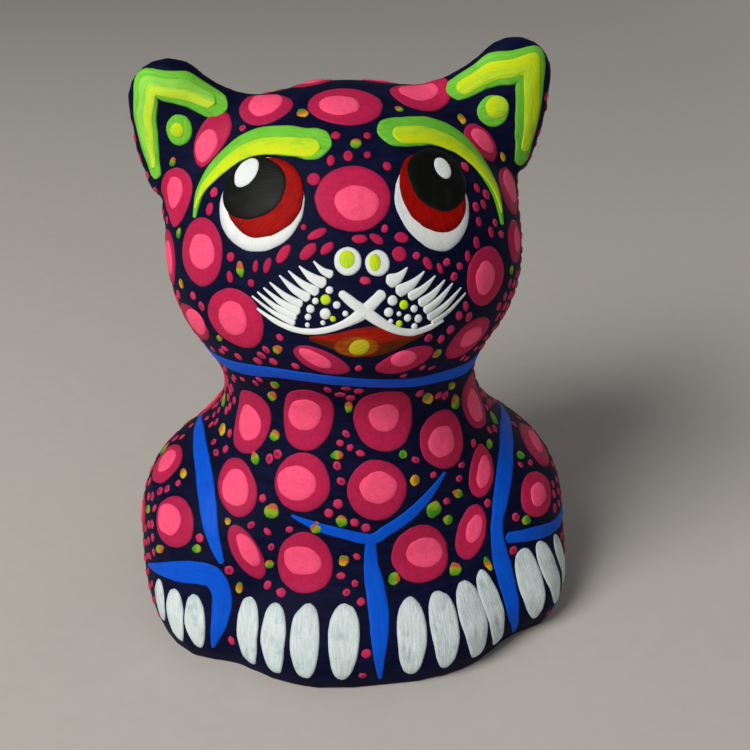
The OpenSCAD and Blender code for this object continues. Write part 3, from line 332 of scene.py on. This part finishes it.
def paint_material(name, body, thin, rich, streak, pin, roughness, edge, vary, depth=0.05,
                   across=None, dabbed=False, grain=0.0):
    """An acrylic paint of the list above."""
    s = Shader(name, roughness, PAINT_SPECULAR)
    near_edge, chance, side = s.tone()
    stretch = (1.1, 1.3, 1) if dabbed else (0.32, 2.6, 1)
    hairs = s.noise(s.place(stretch, painted=True), 1.5, 4, 0.6)
    cloud = s.noise(s.place((0.55, 0.8, 1), painted=True), 0.8, 3)
    colour = s.mix(s.math("MULTIPLY", s.ramp(hairs, 0.38, 0.68), streak), body, rich)
    if across:
        turned = s.math("ADD", side, s.math("MULTIPLY", hairs, 0.5))
        colour = s.mix(s.ramp(turned, 0.62, 0.86), colour, across)
    colour = s.mix(s.math("MULTIPLY", s.ramp(cloud, 0.5, 0.8), streak * 0.8), colour, thin)
    colour = s.mix(s.math("MULTIPLY", s.ramp(near_edge, 0.8, 1.0), edge), colour, thin)
    colour = s.mix(s.math("MULTIPLY", chance, vary), colour, thin)
    spots = pinholes(s, pin)
    colour = s.mix(s.math("MULTIPLY", spots, 0.7), colour, thin)
    height = s.math("ADD", s.math("MULTIPLY", hairs, streak), s.math("MULTIPLY", cloud, 0.35))
    height = s.math("SUBTRACT", height, s.math("MULTIPLY", spots, 0.8))
    if grain > 0:
        specks = s.noise(s.place(), 3.2, 3, 0.7)
        colour = s.mix(s.math("MULTIPLY", s.ramp(specks, 0.56, 0.72), grain), colour, thin)
        height = s.math("SUBTRACT", height, s.math("MULTIPLY", specks, grain * 1.5))
    s.give("Base Color", colour)
    s.give("Roughness", s.math("ADD", s.math("MULTIPLY", cloud, 0.2), roughness - 0.08))
    s.bump(height, depth)
    return s.material


def wet_dot_material(name, first, second, dark, hollow, third=None):
    """A paint for small wet dots, of the list above."""
    s = Shader(name, 0.45, PAINT_SPECULAR)
    near_edge, chance, side = s.tone()
    cloud = s.noise(s.place((0.9, 0.9, 1), painted=True), 0.9, 2)
    turned = s.math("ADD", side, s.math("MULTIPLY", cloud, 0.6))
    colour = s.mix(s.ramp(turned, 0.5, 0.95), first, second)
    if third:
        colour = s.mix(s.ramp(turned, 0.88, 1.15), colour, third)
    middle = s.math("SUBTRACT", 1.0, s.ramp(near_edge, 0.2, 0.75))
    dried = s.math("MULTIPLY", middle, s.ramp(chance, 0.4, 0.7))
    colour = s.mix(s.math("MULTIPLY", dried, hollow), colour, dark)
    colour = s.mix(s.math("MULTIPLY", s.ramp(near_edge, 0.8, 1.0), 0.35), colour, dark)
    s.give("Base Color", colour)
    s.bump(cloud, 0.04)
    return s.material


def make_materials():
    made = {"navy_clay": navy_clay_material(), "bare_clay": bare_clay_material()}
    for name, values in PAINTS.items():
        made[name] = paint_material(name, **values)
    for name, values in WET_DOTS.items():
        made[name] = wet_dot_material(name, **values)
    return made


# ---------------------------------------------------------------- mesh tools

WELD_M = 1e-6


def welded(obj):
    """Points in millimetres and triangles of a CAD node, with the points shared between faces."""
    bm = bmesh.new()
    bm.from_mesh(obj.data)
    bmesh.ops.remove_doubles(bm, verts=bm.verts, dist=WELD_M)
    bmesh.ops.triangulate(bm, faces=bm.faces)
    bm.verts.ensure_lookup_table()
    points = np.array([v.co for v in bm.verts]) / MM
    faces = [[v.index for v in f.verts] for f in bm.faces]
    bm.free()
    return points, faces


def islands(count, faces):
    """The faces of each connected island, one list for each."""
    parent = list(range(count))

    def root(i):
        while parent[i] != i:
            parent[i] = parent[parent[i]]
            i = parent[i]
        return i

    for face in faces:
        for v in face[1:]:
            parent[root(v)] = root(face[0])
    groups = {}
    for face in faces:
        groups.setdefault(root(face[0]), []).append(face)
    return [groups[key] for key in sorted(groups)]


def new_object(name, points_mm, faces, material):
    """A smooth-shaded mesh object, made of points in millimetres."""
    mesh = bpy.data.meshes.new(name)
    mesh.from_pydata([tuple(p) for p in np.asarray(points_mm) * MM], [], faces)
    mesh.validate()
    mesh.shade_smooth()
    mesh.materials.append(material)
    obj = bpy.data.objects.new(name, mesh)
    bpy.context.collection.objects.link(obj)
    return obj


def stands_for(obj, node):
    """Hides a CAD node and attaches the visual piece that shows it to the root body."""
    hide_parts(node)
    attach(obj, "root")


# ---------------------------------------------------------------- the clay skin

VOXEL = 0.5
RELAX_STEPS = 26
RELAX_FACTORS = (0.55, -0.57)
HALF_WALL = 2.4
# Of the ears and the tail
LUMP_WALL = 1.0
# The base slab is grown by this factor to close the figure for the remesh
SLAB_GROWTH = (1.03, 1.03, 1.0)
# Further than this from the halves, the skin belongs to an ear or the tail
OFF_HALF = 0.3
# The vent hole: its centre, and a reach round it that takes in the hole but not the slab's edge
VENT_PLACE = (0, 9)
VENT_REACH = 4.5
# Skin below this height and inside the slab's edge is left out, because the slab shows there
SLAB_SKIN_TOP = 0.2


def relaxed(points, edges, steps):
    """Smooths a closed surface without shrinking it (Taubin's two-step relaxation)."""
    degree = np.bincount(edges.ravel(), minlength=len(points))[:, None]
    for _ in range(steps):
        for factor in RELAX_FACTORS:
            total = np.zeros_like(points)
            np.add.at(total, edges[:, 0], points[edges[:, 1]])
            np.add.at(total, edges[:, 1], points[edges[:, 0]])
            points = points + factor * (total / degree - points)
    return points


def filled_base():
    """The base slab, a little larger and without its vent hole, to close the figure for the remesh."""
    points, _ = welded(frame["nodes"]["base_slab"])
    bm = bmesh.new()
    middle = points.mean(axis=0)
    for p in points:
        bm.verts.new((middle + (p - middle) * SLAB_GROWTH) * MM)
    bmesh.ops.convex_hull(bm, input=bm.verts)
    mesh = bpy.data.meshes.new("base_fill")
    bm.to_mesh(mesh)
    bm.free()
    return mesh


def raw_skin():
    """One closed outer surface round the clay nodes, as points in millimetres and quads."""
    bm = bmesh.new()
    for node in CLAY_NODES:
        bm.from_mesh(frame["nodes"][node].data)
    bm.from_mesh(filled_base())
    bmesh.ops.remove_doubles(bm, verts=bm.verts, dist=WELD_M)
    mesh = bpy.data.meshes.new("skin")
    bm.to_mesh(mesh)
    bm.free()
    obj = bpy.data.objects.new("skin", mesh)
    bpy.context.collection.objects.link(obj)
    remesh = obj.modifiers.new("remesh", "REMESH")
    remesh.mode = "VOXEL"
    remesh.voxel_size = VOXEL * MM
    evaluated = obj.evaluated_get(bpy.context.evaluated_depsgraph_get()).to_mesh()
    points = np.array([v.co for v in evaluated.vertices]) / MM
    faces = [list(p.vertices) for p in evaluated.polygons]
    outer = max(islands(len(points), faces), key=len)
    bpy.data.objects.remove(obj)
    used = sorted({v for f in outer for v in f})
    renumber = {v: i for i, v in enumerate(used)}
    return points[used], [[renumber[v] for v in f] for f in outer]


class Skin:
    """The smooth clay surface, with a quick way to lay points on it."""

    def __init__(self):
        points, self.faces = raw_skin()
        edges = {tuple(sorted((f[k], f[k - 1]))) for f in self.faces for k in range(len(f))}
        points = relaxed(points, np.array(sorted(edges)), RELAX_STEPS)
        points[:, 2] = np.maximum(points[:, 2], 0.0)
        self.points = points
        self.normals = self.vertex_normals()
        self.tree = BVHTree.FromPolygons([tuple(p) for p in points], self.faces)

    def vertex_normals(self):
        """The mean normal of the faces round each point."""
        normals = np.zeros_like(self.points)
        for face in self.faces:
            a, b, c = (self.points[v] for v in face[:3])
            n = np.cross(b - a, c - a)
            for v in face:
                normals[v] += n
        return normals / np.maximum(np.linalg.norm(normals, axis=1), 1e-9)[:, None]

    def nearest(self, p):
        """The nearest point of the skin and the smooth normal there."""
        spot, _, index, _ = self.tree.find_nearest(tuple(p))
        spot = np.array(spot)
        corners = self.faces[index]
        weights = [1 / (np.linalg.norm(self.points[v] - spot) + 0.05) for v in corners]
        n = sum(w * self.normals[v] for w, v in zip(weights, corners))
        return spot, n / np.linalg.norm(n)

    def laid(self, p, lift):
        """The point on the skin nearest to p, lifted off it."""
        spot, normal = self.nearest(p)
        return spot + normal * lift


def skin_labels(skin):
    """Which clay piece each face of the skin belongs to."""
    shells = []
    for node in HALVES:
        points, faces = welded(frame["nodes"][node])
        shells.append(BVHTree.FromPolygons([tuple(p) for p in points], faces))
    ear_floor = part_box("ear_left")[0][2] / MM
    labels = []
    for face in skin.faces:
        middle = skin.points[face].mean(axis=0)
        off_half = min(tree.find_nearest(tuple(middle))[3] for tree in shells) > OFF_HALF
        if off_half and middle[2] > ear_floor:
            labels.append("ear_left" if middle[0] > 0 else "ear_right")
        elif off_half and middle[1] > 0 and middle[2] < ear_floor / 2:
            labels.append("tail")
        else:
            labels.append("front_half" if middle[1] < 0 else "back_half")
    return labels


def inside_outline(outline, x, y):
    """Is the point inside the closed outline?"""
    inside = False
    for k in range(len(outline)):
        (ax, ay), (bx, by) = outline[k - 1], outline[k]
        if (ay > y) != (by > y) and x < ax + (bx - ax) * (y - ay) / (by - ay):
            inside = not inside
    return inside


def slab_outline():
    """The base slab's edge, as points round it in order."""
    points, _ = welded(frame["nodes"]["base_slab"])
    low = points[points[:, 2] < 0.01, :2]
    edge = low[np.linalg.norm(low - VENT_PLACE, axis=1) > VENT_REACH]
    order = np.argsort(np.arctan2(edge[:, 1], edge[:, 0]))
    return [tuple(edge[i]) for i in order]


def shell(points, normals, faces, wall):
    """A closed piece: the outer faces, the same faces moved in by the wall, and a rim between.

    Gives its points, the normals there and its faces."""
    used = sorted({v for f in faces for v in f})
    renumber = {v: i for i, v in enumerate(used)}
    outer = points[used]
    inner = outer - normals[used] * wall
    inner[:, 2] = np.maximum(inner[:, 2], 0.0)
    count = len(used)
    top = [[renumber[v] for v in f] for f in faces]
    rim_edges = {}
    for face in top:
        for k in range(len(face)):
            a, b = face[k - 1], face[k]
            if (b, a) in rim_edges:
                del rim_edges[(b, a)]
            else:
                rim_edges[(a, b)] = True
    bottom = [[v + count for v in reversed(f)] for f in top]
    rim = [[b, a, a + count, b + count] for a, b in rim_edges]
    outward = np.vstack([normals[used], -normals[used]])
    return np.vstack([outer, inner]), outward, top + bottom + rim


def make_clay(skin, materials):
    """Cuts the skin into its clay pieces, and leaves it open where the base slab is."""
    outline = slab_outline()
    labels = skin_labels(skin)
    groups = {}
    for face, label in zip(skin.faces, labels):
        middle = skin.points[face].mean(axis=0)
        if middle[2] < SLAB_SKIN_TOP and inside_outline(outline, middle[0], middle[1]):
            continue
        groups.setdefault(label, []).append(face)
    for node in CLAY_NODES:
        faces = max(islands(len(skin.points), groups[node]), key=len)
        wall = HALF_WALL if node in HALVES else LUMP_WALL
        points, outward, closed = shell(skin.points, skin.normals, faces, wall)
        piece = new_object("clay_" + node, points, closed, materials["navy_clay"])
        piece.data.normals_split_custom_set_from_vertices([tuple(n) for n in outward])
        stands_for(piece, node)


# ---------------------------------------------------------------- paint marks

# Height of a mark's underside over the level that the mark starts at: it sinks a little into what is below
SUNK = -0.06
# Of a dab: the least and most sides, and how many it has for each millimetre of its mean radius
DAB_SIDES = (14, 56)
DAB_SIDES_PER_MM = 14
# Of a stroke: the least and most ribs between its rounded tips, how many for each millimetre, the ribs of
# each tip, the stops across a rib from side to side, and its height over its width at most
RIBS = (14, 220)
RIBS_PER_MM = 2.6
TIP_STEPS = 5
RIB_STOPS = (-1, -0.94, -0.82, -0.6, -0.3, 0, 0.3, 0.6, 0.82, 0.94, 1)
HIGHEST_OVER_WIDTH = 0.4
# Brush coordinates and noise start at a random place up to this far away
SHIFT = 40
PHASE = 100
# The raised rim of flat paint: where it is, from the middle (0) to the edge (1), and how broad
RIM_PLACE = 0.86
RIM_SPREAD = 0.09
# A face whose normal leans out of the skin by less than this (a cosine) is a side of its mark
TOP_FACE_LEAN = 0.1


def within(value, least, most):
    return max(least, min(most, value))


class Relief:
    """Collects the marks of one paint node into one mesh, with brush coordinates and tones."""

    def __init__(self, skin):
        self.skin = skin
        self.points = []
        self.faces = []
        self.brush = []
        self.tones = []

    def vertex(self, place, lift, brush, tone):
        """Lays a point on the skin, lifted off it, and gives its number."""
        self.points.append(self.skin.laid(place, lift))
        self.brush.append(brush)
        self.tones.append(tone)
        return len(self.points) - 1

    def build(self, name, material):
        obj = new_object(name, np.array(self.points), self.faces, material)
        mesh = obj.data
        uv = mesh.uv_layers.new(name="brush")
        tone = mesh.color_attributes.new("tone", "FLOAT_COLOR", "POINT")
        loops = np.empty(len(mesh.loops), dtype=np.int32)
        mesh.loops.foreach_get("vertex_index", loops)
        uv.data.foreach_set("uv", np.array(self.brush)[loops].ravel())
        colours = np.hstack([np.array(self.tones), np.ones((len(self.tones), 1))])
        tone.data.foreach_set("color", colours.ravel())
        return obj


def mark_outline(skin, points, faces):
    """The loop of points round a mark's upper side, in order, anticlockwise from outside."""
    edges = {}
    for face in faces:
        a, b, c = (points[v] for v in face)
        normal = np.cross(b - a, c - a)
        length = np.linalg.norm(normal)
        _, out = skin.nearest((a + b + c) / 3)
        if length < 1e-9 or normal @ out / length < TOP_FACE_LEAN:
            continue
        for k in range(3):
            pair = (face[k - 1], face[k])
            if (pair[1], pair[0]) in edges:
                del edges[(pair[1], pair[0])]
            else:
                edges[pair] = True
    after = {a: b for a, b in edges}
    start = min(after)
    loop = [start]
    while after[loop[-1]] != start and len(loop) <= len(after):
        loop.append(after[loop[-1]])
    return points[loop]


def on_curve(points, s):
    """The place s steps along the smooth closed curve through the points."""
    n = len(points)
    i = math.floor(s)
    t = s - i
    a, b, c, d = (points[(i + j) % n] for j in (-1, 0, 1, 2))
    return 0.5 * (2 * b + (c - a) * t + (2 * a - 5 * b + 4 * c - d) * t * t
                  + (3 * b - a - 3 * c + d) * t ** 3)


def dab_axes(skin, outline, middle):
    """Two directions in the skin's plane: one along the dab's long side, upwards, and one square to it."""
    _, out = skin.nearest(middle)
    long_side = np.linalg.svd(outline - middle)[2][0]
    east = long_side - out * (long_side @ out)
    east = east / np.linalg.norm(east)
    if east[2] < 0:
        east = -east
    return east, np.cross(out, east)


def stray(angle, phase, drip):
    """How far the edge of a dab strays in a direction: slow and fine wobble, and a drip to one side."""
    slow = noise.noise(Vector((math.cos(angle) * 1.3, math.sin(angle) * 1.3, phase)))
    fine = noise.noise(Vector((math.cos(angle) * 4, math.sin(angle) * 4, phase + 9)))
    pull = max(0.0, math.cos(angle - drip)) ** 5
    return slow + 0.35 * fine + 0.8 * pull


def lay_dab(relief, outline, look, rng):
    """A dab: rings from the middle to a hand-wobbled edge, domed or flat as the look says."""
    middle = outline.mean(axis=0)
    size = np.linalg.norm(outline - middle, axis=1).mean()
    sides = within(int(size * DAB_SIDES_PER_MM), *DAB_SIDES)
    edge = [on_curve(outline, k * len(outline) / sides) for k in range(sides)]
    east, north = dab_axes(relief.skin, outline, middle)
    shift = (rng.uniform(0, SHIFT), rng.uniform(0, SHIFT))
    chance, second = rng.random(), rng.random()
    phase = rng.uniform(0, PHASE)
    drip = rng.uniform(0, 2 * math.pi)
    strays = [stray(2 * math.pi * k / sides, phase, drip) for k in range(sides)]
    rows = []
    for share in look["rings"]:
        row = []
        for k in range(sides):
            local = (edge[k] - middle) * share * (1 + look["wobble"] * strays[k])
            u, v = local @ east, local @ north
            place = middle + local + north * v * look["taper"] * u / size
            grain = noise.noise(Vector((u * 0.9 + shift[0], v * 0.9, phase)))
            lift = look["base"] + look["high"] * profile(share, look) * (1 + look["lumpy"] * grain)
            side = within(0.5 + u / (2.4 * size) + 0.4 * (second - 0.5), 0.0, 1.0)
            row.append(relief.vertex(place, lift, (u + shift[0], v + shift[1]), (share, chance, side)))
        rows.append(row)

    def plain(place, lift, share):
        return relief.vertex(place, look["base"] + lift, shift, (share, chance, 0.5))

    top = plain(middle, look["high"] * profile(0, look), 0.0)
    under = [[plain(middle + (edge[k] - middle) * share, SUNK, share) for k in range(sides)]
             for share in (1.0, 0.5)]
    bottom = plain(middle, SUNK, 0.0)
    for k in range(sides):
        n = (k + 1) % sides
        relief.faces.append([top, rows[0][k], rows[0][n]])
        for inner, outer in zip(rows, rows[1:] + [under[0]]):
            relief.faces.append([inner[k], outer[k], outer[n], inner[n]])
        relief.faces.append([under[0][k], under[1][k], under[1][n], under[0][n]])
        relief.faces.append([under[1][k], bottom, under[1][n]])


def profile(share, look):
    """Height of a mark from its middle (0) to its edge (1): flat or domed, with a steep edge."""
    dome = (1 - share ** look["power"]) ** 0.5 if share < 1 else 0.0
    return dome + look["ridge"] * math.exp(-((share - RIM_PLACE) / RIM_SPREAD) ** 2)


def stroke_sides(outline):
    """Smooth left and right sides of a stroke's outline, both from tip to tip."""
    n = len(outline)
    half = n // 2

    def width(i):
        """How wide the stroke would be in all if its tip were at point i."""
        return sum(np.linalg.norm(outline[(i + k) % n] - outline[(i - k) % n]) for k in range(1, half))

    tip = min(range(n), key=width)
    middles = [(outline[(tip + k) % n] + outline[(tip - k) % n]) / 2 for k in range(half + 1)]
    length = np.linalg.norm(np.diff(middles, axis=0), axis=1).sum()
    steps = within(int(length * RIBS_PER_MM), *RIBS)
    rounding = [(k / TIP_STEPS) ** 2 for k in range(TIP_STEPS)]
    stops = rounding + list(np.linspace(1, half - 1, steps)) + [half - s for s in reversed(rounding)]
    return [on_curve(outline, tip - s) for s in stops], [on_curve(outline, tip + s) for s in stops]


def lay_stroke(relief, outline, look, rng):
    """A stroke: ribs across it from tip to tip, each with a rounded section."""
    left, right = stroke_sides(outline)
    last = len(left) - 1
    shift = (rng.uniform(0, SHIFT), rng.uniform(0, SHIFT))
    chance, phase = rng.random(), rng.uniform(0, PHASE)
    widest = max(np.linalg.norm(a - b) for a, b in zip(left, right))
    travelled = 0.0
    previous = (left[0] + right[0]) / 2
    rows, unders, tips = [], [], []
    for k in range(last + 1):
        middle = (left[k] + right[k]) / 2
        travelled += np.linalg.norm(middle - previous)
        previous = middle
        along = travelled + shift[0]
        if k in (0, last):
            tips.append(relief.vertex(middle, look["base"] + SUNK * 0.3,
                                      (along, shift[1]), (1.0, chance, 0.5)))
            continue
        wide = np.linalg.norm(left[k] - right[k])
        reach = 1 + (look["widen"] - 1) * wide / widest
        reach += look["wobble"] * noise.noise(Vector((travelled * 0.8, phase, 0)))
        high = min(look["high"], HIGHEST_OVER_WIDTH * wide)
        row = []
        for t in RIB_STOPS:
            groove = noise.noise(Vector((travelled * 0.25, t * wide * 2.2, phase)))
            lift = look["base"] + high * profile(abs(t), look) * (1 + look["lumpy"] * groove)
            row.append(relief.vertex(middle + (right[k] - left[k]) / 2 * t * reach, lift,
                                     (along, t * wide / 2 + shift[1]), (abs(t), chance, 0.5 + t / 2)))
        rows.append(row)
        unders.append([relief.vertex(middle + (right[k] - left[k]) / 2 * t * reach, look["base"] + SUNK,
                                     (along, shift[1]), (abs(t), chance, 0.5 + t / 2)) for t in (-1, 0, 1)])
    rings = [row + under[::-1] for row, under in zip(rows, unders)]
    around = range(len(rings[0]))
    for ring, following in zip(rings, rings[1:]):
        for k in around:
            n = (k + 1) % len(ring)
            relief.faces.append([ring[k], ring[n], following[n], following[k]])
    for tip, ring, flip in ((tips[0], rings[0], False), (tips[1], rings[-1], True)):
        for k in around:
            trio = [tip, ring[(k + 1) % len(ring)], ring[k]]
            relief.faces.append(trio[::-1] if flip else trio)


FLAT_RINGS = (0.25, 0.5, 0.7, 0.8, 0.87, 0.93, 0.97, 1.0)
SMALL_RINGS = (0.4, 0.7, 0.9, 1.0)


def daubed(high, base=0.0, power=7, ridge=0.12, wobble=0.05, lumpy=0.15, rings=FLAT_RINGS,
           form=lay_dab, widen=1.0, taper=0.0):
    """The look of a dab. high and base are its height and the level it starts at, in millimetres.

    power is high for a flat top and low for a domed one, ridge the height of its raised rim, wobble how
    far its edge strays and lumpy how uneven its top is. widen makes the wide end of a stroke wider, and
    taper makes a dab wider at its upper end. rings are where a dab's rings of points lie."""
    return dict(high=high, base=base, power=power, ridge=ridge, wobble=wobble, lumpy=lumpy,
                rings=rings, form=form, widen=widen, taper=taper)


def brushed(high, base=0.0, power=3, ridge=0.0, wobble=0.06, lumpy=0.3, widen=1.0):
    """The look of a stroke, in the same terms."""
    return daubed(high, base, power, ridge, wobble, lumpy, form=lay_stroke, widen=widen)


# Each is for the nodes whose names start with its name
LOOKS = {
    "eye_white": daubed(0.14),
    "iris": daubed(0.10, base=0.12),
    "pupil": daubed(0.10, base=0.20),
    "eye_glint": daubed(0.16, base=0.28, power=3, ridge=0.0),
    "brow_green": brushed(0.18, power=5),
    "brow_lime": brushed(0.18, base=0.13),
    "ear_green": brushed(0.18, power=5),
    "ear_lime": brushed(0.18, base=0.13),
    "ear_dot": daubed(0.16),
    "ear_dot_centre": daubed(0.22, base=0.12, power=2.5, ridge=0.0),
    "nose_spots": daubed(0.20, power=4),
    "nose_spot_centres": daubed(0.16, base=0.16, power=3, ridge=0.0),
    "mouth_red": brushed(0.12, power=7),
    "mouth_orange": daubed(0.06, base=0.10, power=4),
    "tongue_dot": daubed(0.16, base=0.12, power=3, ridge=0.0),
    "lip_line": brushed(0.22, wobble=0.12, widen=1.12),
    "whiskers": brushed(0.20, wobble=0.15, widen=1.4),
    "muzzle_dots": daubed(0.22, power=2.4, ridge=0.0, rings=SMALL_RINGS),
    "claws": daubed(0.20, power=5, wobble=0.07, lumpy=0.3, taper=0.16),
    "face_dashes": daubed(0.15, power=3, ridge=0.0, wobble=0.08),
    "fine_dots": daubed(0.14, power=3, ridge=0.0, wobble=0.12, rings=SMALL_RINGS),
    "drops": daubed(0.16, power=2.6, ridge=0.0, wobble=0.22),
}
for blue_line in ("collar_line", "chest_fork", "chest_stem", "leg_line", "foot_band"):
    LOOKS[blue_line] = brushed(0.12, power=6)
for region in ("head", "chest", "haunch", "back"):
    LOOKS[region + "_spots"] = daubed(0.14)
    LOOKS[region + "_spot_centres"] = daubed(0.20, base=0.11, power=3.5, ridge=0.0, wobble=0.09, lumpy=0.35)

# Nodes whose paint looks unlike the other nodes of their slot
OWN_MATERIALS = {"fine_dots": "fine_dots", "drops_green": "drops_green",
                 "drops_yellow": "drops_yellow", "ear_lime_right": "mint_paint",
                 "claws_front_left": "claw_paint", "claws_front_right": "claw_paint",
                 "claws_back_left": "claw_paint", "claws_back_right": "claw_paint",
                 "mouth_red": "mouth_paint"}


def look_of(node):
    """The look with the longest name that the node's name starts with."""
    return LOOKS[max((name for name in LOOKS if node.startswith(name)), key=len)]


def make_paint(skin, materials):
    """Lays every paint node's marks on the skin, one relief for each node."""
    for node in sorted(frame["nodes"]):
        if node in CLAY_NODES or node == "base_slab":
            continue
        rng = random.Random(node)
        relief = Relief(skin)
        points, faces = welded(frame["nodes"][node])
        kind = look_of(node)
        for island in islands(len(points), faces):
            outline = mark_outline(skin, points, island)
            kind["form"](relief, outline, kind, rng)
        material = materials[OWN_MATERIALS.get(node, RECORD_SLOTS[node])]
        stands_for(relief.build("paint_" + node, material), node)


# ---------------------------------------------------------------- the figure

materials = make_materials()
camera()
studio()
clay_skin = Skin()
make_clay(clay_skin, materials)
make_paint(clay_skin, materials)
slab = frame["nodes"]["base_slab"]
for material_slot in slab.material_slots:
    material_slot.material = materials["bare_clay"]
